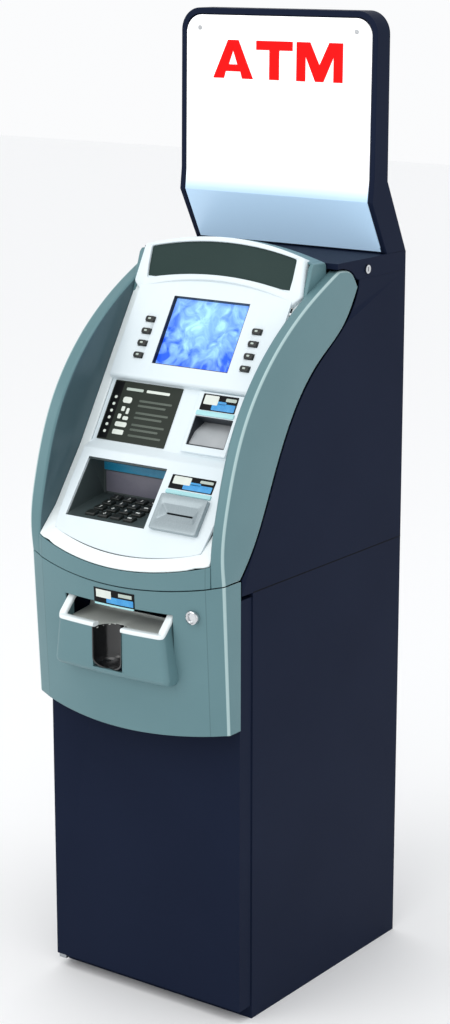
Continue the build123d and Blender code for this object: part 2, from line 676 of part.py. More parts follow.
def make_wing_frame():
    """Two hollow wings joined by the chin band in front, a hood on top and a tie bar."""
    frame = None
    for side in (-1, 1):
        xs = sorted((side * wing_inner, side * half))
        hollow = sorted((side * (wing_inner + WING_SKIN), side * (half - WING_SKIN)))
        wing = side_prism(wing_outline(), xs[0], xs[1])
        wing -= Pos(0, 8, -3) * side_prism(wing_outline(), hollow[0], hollow[1])
        frame = wing if frame is None else frame + wing
    chin = extrude(Plane.XY.offset(SEAM_CORNER_Z - 60) * plan(0, door_front - 4), 120)
    chin -= extrude(Plane.XY.offset(SEAM_CORNER_Z - 61) * plan(FASCIA_WALL, door_front), 122)
    above_seam = below_curve(SEAM_CORNER_Z, SEAM_CREASE_DROP, SEAM_DIP, SEAM_CORNER_Z + 100)
    chin &= front_prism(above_seam, centre_y - 50, door_front + 50)
    low_z, high_z = LIP_FRONT_Z - 20, LIP_FRONT_Z + 80
    lip_drop = PANEL_SKIN * 1.6
    under_lip = outline([
        (lip_surface_y(low_z), low_z - lip_drop), (lip_surface_y(high_z), high_z - lip_drop),
        (door_front + 20, SEAM_CORNER_Z - 80), (lip_surface_y(low_z), SEAM_CORNER_Z - 80),
    ])
    chin &= side_prism(under_lip, -half - 1, half + 1)
    frame += chin
    low, high = HOOD_SIDE_Z, HOOD_MIDDLE_Z
    arch_outer = ThreePointArc((-wing_inner, low), (0, high), (wing_inner, low))
    under = low - HOOD_SKIN
    arch_inner = ThreePointArc((wing_inner, under), (0, high - HOOD_SKIN), (-wing_inner, under))
    ends = [Line((wing_inner, low), (wing_inner, under)), Line((-wing_inner, under), (-wing_inner, low))]
    arch = make_face(Curve() + [arch_outer, ends[0], arch_inner, ends[1]])
    hood = front_prism(arch, hood_front, HOOD_REAR_Y)
    for side in (-1, 1):
        xs = sorted((side * (wing_inner - 5), side * (wing_inner + WING_SKIN)))
        cheek = outline([
            (hood_front, low - 74), (HOOD_REAR_Y, low - 54), (HOOD_REAR_Y, low - 1), (hood_front, low - 1),
        ])
        hood += side_prism(cheek, xs[0], xs[1])
    hood -= extrude(header_plane * header_outline(FIT), HEADER_DEPTH + FIT, both=True)
    frame += hood
    tie_z = SAFE_HEIGHT + 40
    frame += block(-wing_inner, wing_inner, front - 17, front - 13, tie_z, tie_z + 30)
    return frame


def lip_surface_y(z):
    """Y of the chin lip's top at height z: it runs from the middle of the chin up to its corners."""
    return centre_y + (z - LIP_FRONT_Z) * (crease_y - centre_y) / LIP_RISE


def opening(x0, x1, v0, v1):
    """A rectangle on a tier's own plane, between two sides and two distances up the tier."""
    return Pos((x0 + x1) / 2, (v0 + v1) / 2) * Rectangle(x1 - x0, v1 - v0)


def panel_face(clear=0.0):
    """The inner panel's outline on the keypad tier's plane: straight sides and a bowed foot."""
    w = panel_half + clear
    foot_w = panel_half - 6 + clear
    foot_v = up_lower(SAFE_HEIGHT + 79) - clear
    side_v = up_lower(SAFE_HEIGHT + 125)
    far_v = up_lower(base_top + 100)
    bow = ThreePointArc((-foot_w, foot_v), (0, up_lower(SAFE_HEIGHT + 56) - clear), (foot_w, foot_v))
    ring = Polyline(
        (foot_w, foot_v), (w, side_v), (w, far_v), (-w, far_v), (-w, side_v), (-foot_w, foot_v)
    )
    return make_face(Curve() + [bow, ring])


def band(front_line, skin):
    """A skin behind a side-view line of a few straight runs, with mitred corners."""
    back = []
    count = len(front_line)
    for i in range(count):
        before = front_line[max(i - 1, 0)]
        here = front_line[i]
        after = front_line[min(i + 1, count - 1)]
        runs = [(here[0] - before[0], here[1] - before[1]), (after[0] - here[0], after[1] - here[1])]
        runs = [run for run in runs if run != (0, 0)]
        normals = [(-dz / math.hypot(dy, dz), dy / math.hypot(dy, dz)) for dy, dz in runs]
        ny = sum(n[0] for n in normals)
        nz = sum(n[1] for n in normals)
        size = math.hypot(ny, nz)
        ny, nz = ny / size, nz / size
        reach = skin / (ny * normals[0][0] + nz * normals[0][1])
        back.append((here[0] + ny * reach, here[1] + nz * reach))
    return outline(list(front_line) + back[::-1])


def make_control_panel():
    """White inner panel with a screen tier, a set-back middle tier and a keypad tier."""
    top_z = SAFE_HEIGHT + 542
    foot_z = SAFE_HEIGHT + 42
    line = [
        (screen_surface(top_z), top_z),
        (screen_surface(TIER_TOP_Z), TIER_TOP_Z),
        (screen_surface(TIER_TOP_Z - TIER_STEP_FALL, TIER_STEP), TIER_TOP_Z - TIER_STEP_FALL),
        (screen_surface(TIER_BOTTOM_Z, TIER_STEP), TIER_BOTTOM_Z),
        (lower_surface(TIER_BOTTOM_Z - 8), TIER_BOTTOM_Z - 8),
        (lower_surface(foot_z), foot_z),
    ]
    panel = side_prism(band(line, PANEL_SKIN), -panel_half, panel_half)
    panel &= extrude(lower_plane * panel_face(), 60, both=True)
    panel -= extrude(header_plane * header_outline(FIT), 60, both=True)
    screen = Rectangle(SCREEN_WIDTH, SCREEN_HEIGHT)
    panel -= extrude(screen_plane * screen, 30, both=True)
    for x, v in function_places():
        hole = Pos(x, v) * Rectangle(FUNCTION_KEY[0] + 2 * KEY_CLEAR, FUNCTION_KEY[1] + 2 * KEY_CLEAR)
        panel -= extrude(screen_plane * hole, 30, both=True)
    low, high = up_middle(RECEIPT_BOTTOM_Z), up_middle(RECEIPT_TOP_Z)
    slot = opening(RECEIPT_LEFT + RECEIPT_RIM, RECEIPT_RIGHT - RECEIPT_RIM, low, high)
    panel -= extrude(middle_plane * slot, 25, both=True)
    low, high = up_lower(POCKET_FRONT_Z), up_lower(POCKET_TOP_Z)
    pocket = opening(POCKET_LEFT - FIT, POCKET_RIGHT + FIT, low - FIT, high + FIT)
    panel -= extrude(lower_plane * pocket, 30, both=True)
    low, high = up_lower(CARD_BOTTOM_Z), up_lower(CARD_TOP_Z)
    card = opening(CARD_LEFT + 10, CARD_RIGHT - 10, low + 8, high - 8)
    panel -= extrude(lower_plane * card, 30, both=True)
    return panel


def make_bezel_frame():
    """White border beside the inner panel, and the lip under it that caps the chin."""
    top_z, low_z, lip_z = SAFE_HEIGHT + 498, SAFE_HEIGHT + 110, LIP_FRONT_Z + 48
    line = [
        (screen_surface(top_z, BORDER_DROP), top_z),
        (screen_surface(tier_cross_z, BORDER_DROP), tier_cross_z),
        (lower_surface(low_z, BORDER_DROP), low_z),
        (lip_surface_y(lip_z), lip_z),
    ]
    border = None
    for side in (-1, 1):
        xs = sorted((side * (panel_half - 12), side * wing_inner))
        strip = side_prism(band(line, PANEL_SKIN), xs[0], xs[1])
        border = strip if border is None else border + strip
    lip_top = [(lip_surface_y(z), z) for z in (LIP_FRONT_Z + 55, LIP_FRONT_Z - 8)]
    lip = side_prism(band(lip_top, PANEL_SKIN), -wing_inner, wing_inner)
    lip &= extrude(Plane.XY.offset(SAFE_HEIGHT - 20) * plan(0, 0), 200)
    border += lip
    border -= extrude(lower_plane * panel_face(FIT), 60, both=True)
    border -= extrude(header_plane * header_outline(FIT), 60, both=True)
    return border


def make_header_housing():
    """Arched white visor frame around the header window."""
    housing = extrude(header_plane * header_outline(), -HEADER_DEPTH)
    housing -= extrude(header_plane.offset(1) * window_outline(), -HEADER_DEPTH - 5)
    return housing


def make_header_window():
    """Dark arched window, set back a little in its frame."""
    return extrude(header_plane.offset(-3) * window_outline(-FIT), -4)


def make_lcd_screen():
    """Display module behind the screen opening, on two rails against the panel's back."""
    glass = Rectangle(SCREEN_WIDTH - 1, SCREEN_HEIGHT - 1)
    tray = Rectangle(SCREEN_WIDTH + 22, SCREEN_HEIGHT + 18)
    module = extrude(screen_plane.offset(-9) * glass, -8)
    module += extrude(screen_plane.offset(-16) * tray, -22)
    for v in (-SCREEN_HEIGHT / 2 - 6, SCREEN_HEIGHT / 2 + 6):
        rail = Pos(0, v) * Rectangle(SCREEN_WIDTH + 10, 6)
        module += extrude(screen_plane.offset(-PANEL_SKIN) * rail, -12)
    return module


def function_places():
    """Places of the eight function keys on the screen plane: left column, then right."""
    rows = [FUNCTION_TOP - FUNCTION_PITCH * row for row in range(4)]
    return [(side * FUNCTION_X, v) for side in (-1, 1) for v in rows]


def make_function_key(x, v):
    """Key that stands proud of the panel and runs in its hole, with a stop flange behind."""
    place = Pos(x, v)
    depth = KEY_RISE + PANEL_SKIN + 6
    cap = extrude(screen_plane.offset(KEY_RISE) * place * Rectangle(*FUNCTION_KEY), -depth)
    flange = place * Rectangle(FUNCTION_KEY[0] + 2 * KEY_FLANGE, FUNCTION_KEY[1] + 2 * KEY_FLANGE)
    return cap + extrude(screen_plane.offset(-PANEL_SKIN - KEY_CLEAR) * flange, -KEY_FLANGE)


def make_info_panel():
    """Dark instruction plate on the middle tier."""
    low, high = [up_middle(z) for z in middle_z_range]
    return extrude(middle_plane * opening(INFO_LEFT, INFO_RIGHT, low, high), 2)


def make_receipt_bezel():
    """White surround of the receipt slot on the middle tier."""
    low, high = [up_middle(z) for z in middle_z_range]
    body = extrude(middle_plane * opening(RECEIPT_LEFT, RECEIPT_RIGHT, low, high), 6)
    low, high = up_middle(RECEIPT_BOTTOM_Z), up_middle(RECEIPT_TOP_Z)
    hole = opening(RECEIPT_LEFT + RECEIPT_RIM, RECEIPT_RIGHT - RECEIPT_RIM, low, high)
    return body - extrude(middle_plane * hole, 20, both=True)


def make_receipt_printer():
    """Printer with a sloping chute in the slot, a feed box and two ears that carry the paper roll."""
    x0 = RECEIPT_LEFT + RECEIPT_RIM + FIT
    x1 = RECEIPT_RIGHT - RECEIPT_RIM - FIT
    y_top = screen_surface(RECEIPT_TOP_Z, TIER_STEP)
    chute = side_prism(outline([
        (screen_surface(RECEIPT_BOTTOM_Z + 3, TIER_STEP), RECEIPT_BOTTOM_Z + 3),
        (y_top - 8, RECEIPT_BOTTOM_Z + 22), (y_top + 34, RECEIPT_TOP_Z - 10),
        (y_top + 34, RECEIPT_BOTTOM_Z - 30), (y_top - 6, RECEIPT_BOTTOM_Z - 30),
        (screen_surface(RECEIPT_BOTTOM_Z, TIER_STEP + PANEL_SKIN + 1), RECEIPT_BOTTOM_Z - 3),
    ]), x0, x1)
    body = block(x0 - 4, x1 + 4, y_top + 30, y_top + 62, RECEIPT_BOTTOM_Z - 30, RECEIPT_TOP_Z + 6)
    ears = []
    for e0, e1 in ((x0 - 4, x0 - 1), (x1 + 1, x1 + 4)):
        ear = block(e0, e1, y_top + 60, roll_y + 12, roll_z - 14, roll_z + 14)
        ear -= along_x(e0 - 5, e1 + 5, roll_y, roll_z, SPINDLE_RADIUS + RUNNING)
        ears.append(ear)
    printer = chute + body
    for ear in ears:
        printer += ear
    return printer


def make_paper_roll():
    """Receipt paper on its spindle."""
    x0 = RECEIPT_LEFT + RECEIPT_RIM + FIT
    x1 = RECEIPT_RIGHT - RECEIPT_RIM - FIT
    roll = along_x(x0 + 1, x1 - 1, roll_y, roll_z, ROLL_RADIUS)
    return roll + along_x(x0 - 6, x1 + 6, roll_y, roll_z, SPINDLE_RADIUS)


def make_card_bezel():
    """Metal-look mouth with a slot, standing on the keypad tier."""
    face = opening(CARD_LEFT, CARD_RIGHT, up_lower(CARD_BOTTOM_Z), up_lower(CARD_TOP_Z))
    body = extrude(lower_plane * face, 9)
    return body - extrude(lower_plane * card_place * Rectangle(CARD_SLOT_WIDTH, CARD_SLOT), 40, both=True)


def make_card_reader():
    """Card reader body behind its mouth, with the card path open to the front."""
    body = extrude(lower_plane * card_place * Rectangle(82, 40), -110)
    return body - extrude(lower_plane * card_place * Rectangle(CARD_SLOT_WIDTH, CARD_SLOT), -90)


def pad_places():
    """Centres of the sixteen keys on the pad's own plane, row by row from the back."""
    rows = [PAD_PITCH_Y * (1.5 - row) for row in range(4)]
    columns = [PAD_PITCH_X * (column - 1.5) for column in range(4)]
    return [(x, v) for v in rows for x in columns]


def make_keypad_body():
    """Tub behind the panel's large hole, with a thick floor that has a well for each key."""
    wall = 3.0
    floor = 14.0
    back_top = POCKET_TOP_Z - 15
    tub = side_prism(outline([
        (pad_front_y + wall, POCKET_FRONT_Z - floor), (POCKET_BACK_Y + wall, pad_back_z - floor),
        (POCKET_BACK_Y + wall, back_top + wall), (lower_surface(POCKET_TOP_Z), POCKET_TOP_Z),
        (pad_front_y, POCKET_FRONT_Z),
    ]), POCKET_LEFT - wall, POCKET_RIGHT + wall)
    tub -= side_prism(outline([
        (pad_front_y - 60, POCKET_FRONT_Z - 60 * math.tan(pad_tilt)), (POCKET_BACK_Y, pad_back_z),
        (POCKET_BACK_Y, back_top), (lower_surface(POCKET_TOP_Z), POCKET_TOP_Z - 3),
        (pad_front_y - 60, POCKET_TOP_Z + 20),
    ]), POCKET_LEFT, POCKET_RIGHT)
    hole = opening(POCKET_LEFT, POCKET_RIGHT, up_lower(POCKET_FRONT_Z), up_lower(POCKET_TOP_Z))
    behind = extrude(lower_plane.offset(-PANEL_SKIN) * Rectangle(600, 600), -200)
    tub &= behind + extrude(lower_plane * hole, -PANEL_SKIN - 1)
    for x, v in pad_places():
        well = Pos(x, v) * Rectangle(PAD_KEY[0] + 2 * KEY_CLEAR, PAD_KEY[1] + 2 * KEY_CLEAR)
        tub -= extrude(pad_plane.offset(1) * well, -KEY_ROOT - KEY_TRAVEL - 2)
    return tub


def make_pad_key(x, v):
    """Rectangular key that stands in its well."""
    return extrude(pad_plane.offset(KEY_RISE) * Pos(x, v) * Rectangle(*PAD_KEY), -KEY_RISE - KEY_ROOT)


# ---------------------------------------------------------------- topper


def make_topper_base():
    """Navy cap on the cabinet, cut away over the shoulders of the wings."""
    nose = HOOD_REAR_Y + 1
    lift = base_top - 10.5
    shoulder_y = wing_rear[0][0]
    cap = side_prism(outline([
        (nose, base_top), (rear, base_top), (rear, cabinet_top), (shoulder_y, cabinet_top),
        (shoulder_y - 48, lift), (nose, lift),
    ]), -half, half)
    inner = half - SHEET
    cap -= block(-inner, inner, shoulder_y + 4, rear - SHEET, cabinet_top - 1, base_top - SHEET)
    for dy, dz in ((SEAM_CLEAR, 0), (0, SEAM_CLEAR), (SEAM_CLEAR * 0.8, SEAM_CLEAR * 0.8)):
        cap -= Pos(0, dy, dz) * side_prism(wing_outline(), -half - 1, half + 1)
    cap -= along_x(half - 40, half + 1, lock_side_y, lock_side_z, SIDE_LOCK_RADIUS + FIT)
    return cap


def make_top_lock():
    """Cam lock in the side of the topper base; its tongue holds the sliding fascia."""
    plug = along_x(half - 16, half + 3, lock_side_y, lock_side_z, SIDE_LOCK_RADIUS)
    plug -= block(half - 3, half + 4, lock_side_y - 1, lock_side_y + 1, lock_side_z - 4, lock_side_z + 4)
    plug += block(half - 16, half - 13, lock_side_y - 8, lock_side_y + 8, lock_side_z - 12, lock_side_z + 12)
    return plug


def sign_profile():
    """Side view of the sign box: it leans forward from its foot, bends, and stands upright."""
    back_top = SIGN_FRONT_Y + SIGN_THICK
    return [
        (SIGN_FOOT_Y, base_top), (SIGN_FRONT_Y - 5, SIGN_BEND_Z - 22), (SIGN_FRONT_Y, SIGN_BEND_Z + 20),
        (SIGN_FRONT_Y + 4, SIGN_TOP), (back_top, SIGN_TOP), (back_top, SIGN_BEND_Z + 14), (rear, base_top),
    ]


def sign_front(rim):
    """Front view of the sign with its two rounded top corners, drawn in by a rim."""
    radius = SIGN_CORNER - rim
    wide = half - rim
    top = SIGN_TOP - rim
    foot = base_top + rim
    curve = Curve() + [
        Line((-wide, foot), (wide, foot)),
        Line((wide, foot), (wide, top - radius)),
        RadiusArc((wide, top - radius), (wide - radius, top), -radius),
        Line((wide - radius, top), (-wide + radius, top)),
        RadiusArc((-wide + radius, top), (-wide, top - radius), -radius),
        Line((-wide, top - radius), (-wide, foot)),
    ]
    return make_face(curve)


def make_sign_shell():
    """Bent sheet box behind the face, open to the front inside a rim."""
    shell = side_prism(outline(sign_profile()), -half, half)
    shell &= front_prism(sign_front(0), 0, 300)
    inner = offset(outline(sign_profile()), -SIGN_SHEET)
    hollow = side_prism(inner, -half + SIGN_SHEET, half - SIGN_SHEET)
    hollow &= front_prism(sign_front(SIGN_SHEET), 0, 300)
    mouth = side_prism(outline(sign_profile()), -half + SIGN_RIM, half - SIGN_RIM)
    mouth = Pos(0, -SIGN_SHEET * 3, 0) * mouth
    mouth &= front_prism(sign_front(SIGN_RIM), 0, 300)
    return shell - hollow - mouth


def make_sign_face():
    """Translucent face that follows the bend of the box, set inside the rim."""
    line = [
        (SIGN_FRONT_Y + 4 + FACE_SET_BACK, SIGN_TOP), (SIGN_FRONT_Y + FACE_SET_BACK, SIGN_BEND_Z + 20),
        (SIGN_FRONT_Y - 5 + FACE_SET_BACK, SIGN_BEND_Z - 22), (SIGN_FOOT_Y + FACE_SET_BACK, base_top),
    ]
    face = side_prism(band(line, FACE_THICK), -half, half)
    return face & front_prism(sign_front(SIGN_RIM + FIT), 0, 300)


def letter_faces():
    """Three plain block capitals, A T M, drawn with one stroke width."""
    h = LETTER_HEIGHT
    s = LETTER_STROKE
    a_wide, t_wide, m_wide = 92, 82, 102
    a = outline([
        (0, 0), (34, h), (a_wide - 34, h), (a_wide, 0), (a_wide - s - 3, 0), (a_wide - 29, 13), (29, 13),
        (s + 3, 0),
    ])
    a -= outline([(36, 26), (56, 26), (46, 52)])
    stem = t_wide / 2 - s / 2
    t = outline([
        (0, h), (t_wide, h), (t_wide, h - 17), (t_wide - stem, h - 17), (t_wide - stem, 0), (stem, 0),
        (stem, h - 17), (0, h - 17),
    ])
    m = outline([
        (0, 0), (0, h), (s + 8, h), (51, 30), (m_wide - s - 8, h), (m_wide, h), (m_wide, 0),
        (m_wide - s + 2, 0), (m_wide - s + 2, 46), (60, 0), (42, 0), (s - 2, 46), (s - 2, 0),
    ])
    return ((a, -145), (t, -46), (m, 45))


def face_y(z):
    """Y of the sign face's front on its upright part."""
    return SIGN_FRONT_Y + FACE_SET_BACK + (z - SIGN_BEND_Z - 20) * sign_lean


def make_sign_letters():
    """Raised letters on the upright part of the face."""
    letters = []
    normal = (0, -1, sign_lean)
    for face, x in letter_faces():
        plane = Plane(origin=(x, face_y(LETTER_FOOT_Z), LETTER_FOOT_Z), x_dir=(1, 0, 0), z_dir=normal)
        letters.append(extrude(plane * face, LETTER_THICK))
    return Compound(letters)


def make_sign_screws():
    """Two screws in the face's top corners."""
    z = SIGN_TOP - 37
    y = face_y(z)
    return Compound([along_y(x, y - 2.5, y - 0.1, z, SCREW_RADIUS) for x in (-SCREW_X, SCREW_X)])


def make_sign_lamps():
    """Two tube lamps along the sign, with end caps on the shell's sides."""
    lamps = []
    reach = half - SIGN_SHEET
    y = SIGN_FRONT_Y + SIGN_THICK - SIGN_SHEET - 16
    for z in (SIGN_TOP - 232, SIGN_TOP - 112):
        lamp = along_x(-reach, reach, y, z, LAMP_RADIUS)
        lamp += along_x(-reach, -reach + 18, y, z, LAMP_CAP_RADIUS)
        lamp += along_x(reach - 18, reach, y, z, LAMP_CAP_RADIUS)
        lamps.append(lamp)
    return Compound(lamps)


# ---------------------------------------------------------------- write every node

nodes = {
    "safe_body": make_safe_body,
    "hinge_pivots": make_hinge_pivots,
    "safe_door": make_safe_door,
    "bolt_bar": make_bolt_bar,
    "lock_plug": make_lock_plug,
    "mid_fascia": make_mid_fascia,
    "cash_tray": make_cash_tray,
    "upper_cabinet": make_upper_cabinet,
    "power_inlet": make_power_inlet,
    "computer_box": make_computer_box,
    "power_supply": make_power_supply,
    "cabinet_rails": make_cabinet_rails,
    "fascia_rails": make_fascia_rails,
    "dispenser_frame": make_dispenser_frame,
    "feed_roller": make_feed_roller,
    "cash_cassette": make_cash_cassette,
    "wing_frame": make_wing_frame,
    "bezel_frame": make_bezel_frame,
    "control_panel": make_control_panel,
    "header_housing": make_header_housing,
    "header_window": make_header_window,
    "lcd_screen": make_lcd_screen,
    "info_panel": make_info_panel,
    "receipt_bezel": make_receipt_bezel,
    "receipt_printer": make_receipt_printer,
    "paper_roll": make_paper_roll,
    "card_bezel": make_card_bezel,
    "card_reader": make_card_reader,
    "keypad_body": make_keypad_body,
    "topper_base": make_topper_base,
    "top_lock": make_top_lock,
    "sign_shell": make_sign_shell,
    "sign_face": make_sign_face,
    "sign_letters": make_sign_letters,
    "sign_screws": make_sign_screws,
    "sign_lamps": make_sign_lamps,
}

os.makedirs("parts", exist_ok=True)
for name, make in nodes.items():
    export_step(make(), "parts/" + name + ".step")
for index, (x, v) in enumerate(function_places()):
    side = "left" if index < 4 else "right"
    export_step(make_function_key(x, v), "parts/function_key_" + side + "_" + str(index % 4 + 1) + ".step")
for index, (x, v) in enumerate(pad_places()):
    export_step(make_pad_key(x, v), "parts/keypad_key_" + str(index + 1).zfill(2) + ".step")
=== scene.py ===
import bmesh
import bpy
import math
import numpy as np
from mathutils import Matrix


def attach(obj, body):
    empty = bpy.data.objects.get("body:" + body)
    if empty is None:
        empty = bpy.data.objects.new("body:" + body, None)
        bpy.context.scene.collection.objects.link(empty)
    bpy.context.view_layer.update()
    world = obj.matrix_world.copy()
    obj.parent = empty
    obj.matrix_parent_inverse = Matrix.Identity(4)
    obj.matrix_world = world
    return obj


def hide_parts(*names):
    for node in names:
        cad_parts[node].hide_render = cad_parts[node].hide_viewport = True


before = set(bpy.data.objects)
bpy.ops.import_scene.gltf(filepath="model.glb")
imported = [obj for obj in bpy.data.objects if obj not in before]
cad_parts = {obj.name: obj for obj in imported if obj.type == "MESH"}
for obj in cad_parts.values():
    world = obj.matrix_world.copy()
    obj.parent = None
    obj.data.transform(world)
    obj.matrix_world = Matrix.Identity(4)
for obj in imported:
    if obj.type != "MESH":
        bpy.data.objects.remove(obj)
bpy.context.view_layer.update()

# ---------------------------------------------------------------- camera, floor and studio light
# A pale floor under an even studio dome, one broad lamp in front on the left and a weaker one on the right.
# The camera stands ahead of the machine's right front corner, a little above its fascia.

CAMERA_PLACE = (2.4673, -3.4028, 1.9434)
CAMERA_TURN = math.radians(36.167)
CAMERA_DIP = math.radians(14.145)
camera_data = bpy.data.cameras.new("camera")
camera_data.sensor_width = 36.0
camera_data.lens = 80.42
camera = bpy.data.objects.new("camera", camera_data)
camera.location = CAMERA_PLACE
camera.rotation_euler = (math.pi / 2 - CAMERA_DIP, 0.0, CAMERA_TURN)
bpy.context.collection.objects.link(camera)
bpy.context.scene.camera = camera
bpy.context.scene.view_settings.view_transform = "Standard"

world = bpy.data.worlds.new("studio")
world.use_nodes = True
dome = world.node_tree.nodes["Background"]
dome.inputs["Color"].default_value = (0.985, 0.99, 1.0, 1.0)
dome.inputs["Strength"].default_value = 0.98
bpy.context.scene.world = world


def lamp(name, place, target, size, power, tint):
    """A square area lamp of the given side at a place, turned towards a target."""
    data = bpy.data.lights.new(name, "AREA")
    data.size = size
    data.energy = power
    data.color = tint
    lamp_object = bpy.data.objects.new(name, data)
    lamp_object.location = place
    aim = np.array(target) - np.array(place)
    turn = math.atan2(aim[0], -aim[1])
    lamp_object.rotation_euler = (math.atan2(math.hypot(aim[0], aim[1]), -aim[2]), 0.0, turn + math.pi)
    bpy.context.collection.objects.link(lamp_object)


lamp("front_lamp", (-1.6, -3.6, 2.9), (0.0, 0.0, 1.0), 2.4, 34.0, (1.0, 0.99, 0.97))
lamp("side_lamp", (3.6, 0.6, 2.2), (0.0, 0.0, 1.0), 2.0, 4.0, (0.93, 0.96, 1.0))
lamp("top_lamp", (0.4, -1.2, 3.6), (0.0, 0.0, 1.2), 1.6, 14.0, (1.0, 1.0, 1.0))

FLOOR_REACH = 14.0
floor_mesh = bpy.data.meshes.new("floor")
floor_mesh.from_pydata([(x * FLOOR_REACH, y * FLOOR_REACH, 0.0)
                        for x, y in ((-1, -1), (1, -1), (1, 1), (-1, 1))], [], [(0, 1, 2, 3)])
floor = bpy.data.objects.new("floor", floor_mesh)
bpy.context.collection.objects.link(floor)
floor_finish = bpy.data.materials.new("floor_white")
floor_finish.use_nodes = True
floor_shader = floor_finish.node_tree.nodes["Principled BSDF"]
floor_shader.inputs["Base Color"].default_value = (0.95, 0.955, 0.96, 1.0)
floor_shader.inputs["Roughness"].default_value = 0.9
floor_mesh.materials.append(floor_finish)

# ---------------------------------------------------------------- safe
# A welded box of 6 mm plate with a jamb ring and a shelf, bolted to the floor through four holes.
# It is powder coated in a fine satin navy, and its pressed corners have a small radius.

MM = 0.001


def grown(tree, kind, inputs, output=0, **settings):
    """The output of a new shader node; each input is a plain value or the output of another node."""
    node = tree.nodes.new("ShaderNode" + kind)
    for setting, value in settings.items():
        setattr(node, setting, value)
    for socket, value in inputs.items():
        if isinstance(value, bpy.types.NodeSocket):
            tree.links.new(value, node.inputs[socket])
        else:
            node.inputs[socket].default_value = value
    return node.outputs[output]


def ramp(tree, value, start, end, first, last):
    """A value between start and end, clamped and carried over to first and last."""
    return grown(tree, "MapRange", {"Value": value, "From Min": start, "From Max": end,
                                    "To Min": first, "To Max": last})


def coated(tree, given, shade, rough, height):
    """Base to Shade by one share and Smooth to Rough by another, with a height."""
    return (grown(tree, "Mix", {"Factor": shade, "A": given["Base"], "B": given["Shade"]}, 2, data_type="RGBA"),
            grown(tree, "Mix", {"Factor": rough, "A": given["Smooth"], "B": given["Rough"]}), height)


def texture_group(name, build, inputs=("Base", "Shade", "Smooth", "Rough", "Grain", "Patch"),
                  outputs=("Color", "Roughness", "Height")):
    """A node group whose build(tree, its inputs) gives the source of each output."""
    tree = bpy.data.node_groups.new(name, "ShaderNodeTree")
    for side, sockets in (("OUTPUT", outputs), ("INPUT", inputs)):
        for socket in sockets:
            kind = "Color" if socket in ("Color", "Base", "Shade", "Band") else "Float"
            tree.interface.new_socket(socket, in_out=side, socket_type="NodeSocket" + kind)
    given, out = tree.nodes.new("NodeGroupInput"), tree.nodes.new("NodeGroupOutput")
    for socket, source in zip(outputs, build(tree, given.outputs)):
        tree.links.new(source, out.inputs[socket])
    return tree


def build_coat(tree, given):
    """Colour by slow patches, roughness by the patches times a fine grain, and the grain as height."""
    place = grown(tree, "TexCoord", {}, "Object")
    patch = grown(tree, "TexNoise", {"Vector": place, "Scale": given["Patch"], "Detail": 3.0})
    grain = grown(tree, "TexNoise", {"Vector": place, "Scale": given["Grain"], "Detail": 2.0})
    return coated(tree, given, patch, grown(tree, "Math", {0: patch, 1: grain}, operation="MULTIPLY"), grain)


coat_group = texture_group("coat", build_coat)


def linear(colour):
    """An sRGB colour of 0 to 255 in linear light."""
    c = np.array(colour) / 255.0
    return tuple(np.where(c <= 0.04045, c / 12.92, ((c + 0.055) / 1.055) ** 2.4)) + (1.0,)


def finish(name, base, shade, smooth, rough, grain=900.0, patch=6.0, bump=0.1, metal=0.0, coat=0.0,
           glow=0.0, specular=0.5, group=coat_group):
    """A material: a group's colour, roughness and grain, with metal, coat, gloss and glow as plain values."""
    material = bpy.data.materials.new(name)
    material.use_nodes = True
    tree = material.node_tree
    shader = tree.nodes["Principled BSDF"]
    node = tree.nodes.new("ShaderNodeGroup")
    node.node_tree = group
    node.inputs["Base"].default_value = linear(base)
    node.inputs["Shade"].default_value = linear(shade)
    for socket, value in (("Smooth", smooth), ("Rough", rough), ("Grain", grain), ("Patch", patch)):
        node.inputs[socket].default_value = value
    tree.links.new(node.outputs["Color"], shader.inputs["Base Color"])
    tree.links.new(node.outputs["Roughness"], shader.inputs["Roughness"])
    relief = tree.nodes.new("ShaderNodeBump")
    relief.inputs["Strength"].default_value = bump
    relief.inputs["Distance"].default_value = 0.0006
    tree.links.new(node.outputs["Height"], relief.inputs["Height"])
    tree.links.new(relief.outputs["Normal"], shader.inputs["Normal"])
    shader.inputs["Metallic"].default_value = metal
    shader.inputs["Coat Weight"].default_value = coat
    shader.inputs["Coat Roughness"].default_value = 0.12
    shader.inputs["Specular IOR Level"].default_value = specular
    if glow:
        tree.links.new(node.outputs["Color"], shader.inputs["Emission Color"])
        shader.inputs["Emission Strength"].default_value = glow
    return material


navy = finish("navy_powder_coat", (26, 34, 54), (22, 29, 47), 0.4, 0.56, grain=1400.0, patch=4.0, bump=0.16,
              specular=0.03)


def settle(piece, body, material, replaced=(), sharp=32.0):
    """Smooth shading with sharp corners, a material, a body to ride on and the CAD nodes it stands for."""
    mesh = piece.data
    mesh.shade_smooth()
    mesh.set_sharp_from_angle(angle=math.radians(sharp))
    mesh.materials.clear()
    mesh.materials.append(material)
    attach(piece, body)
    if replaced:
        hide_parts(*replaced)
    return piece


def rounded(piece, width, segments=2, angle=28.0):
    """A Bevel modifier, of a width in millimetres, on the edges sharper than an angle."""
    bevel = piece.modifiers.new("rounding", "BEVEL")
    bevel.width = width * MM
    bevel.segments = segments
    bevel.limit_method = "ANGLE"
    bevel.angle_limit = math.radians(angle)
    bevel.harden_normals = False
    bevel.miter_outer = "MITER_ARC"
    return piece


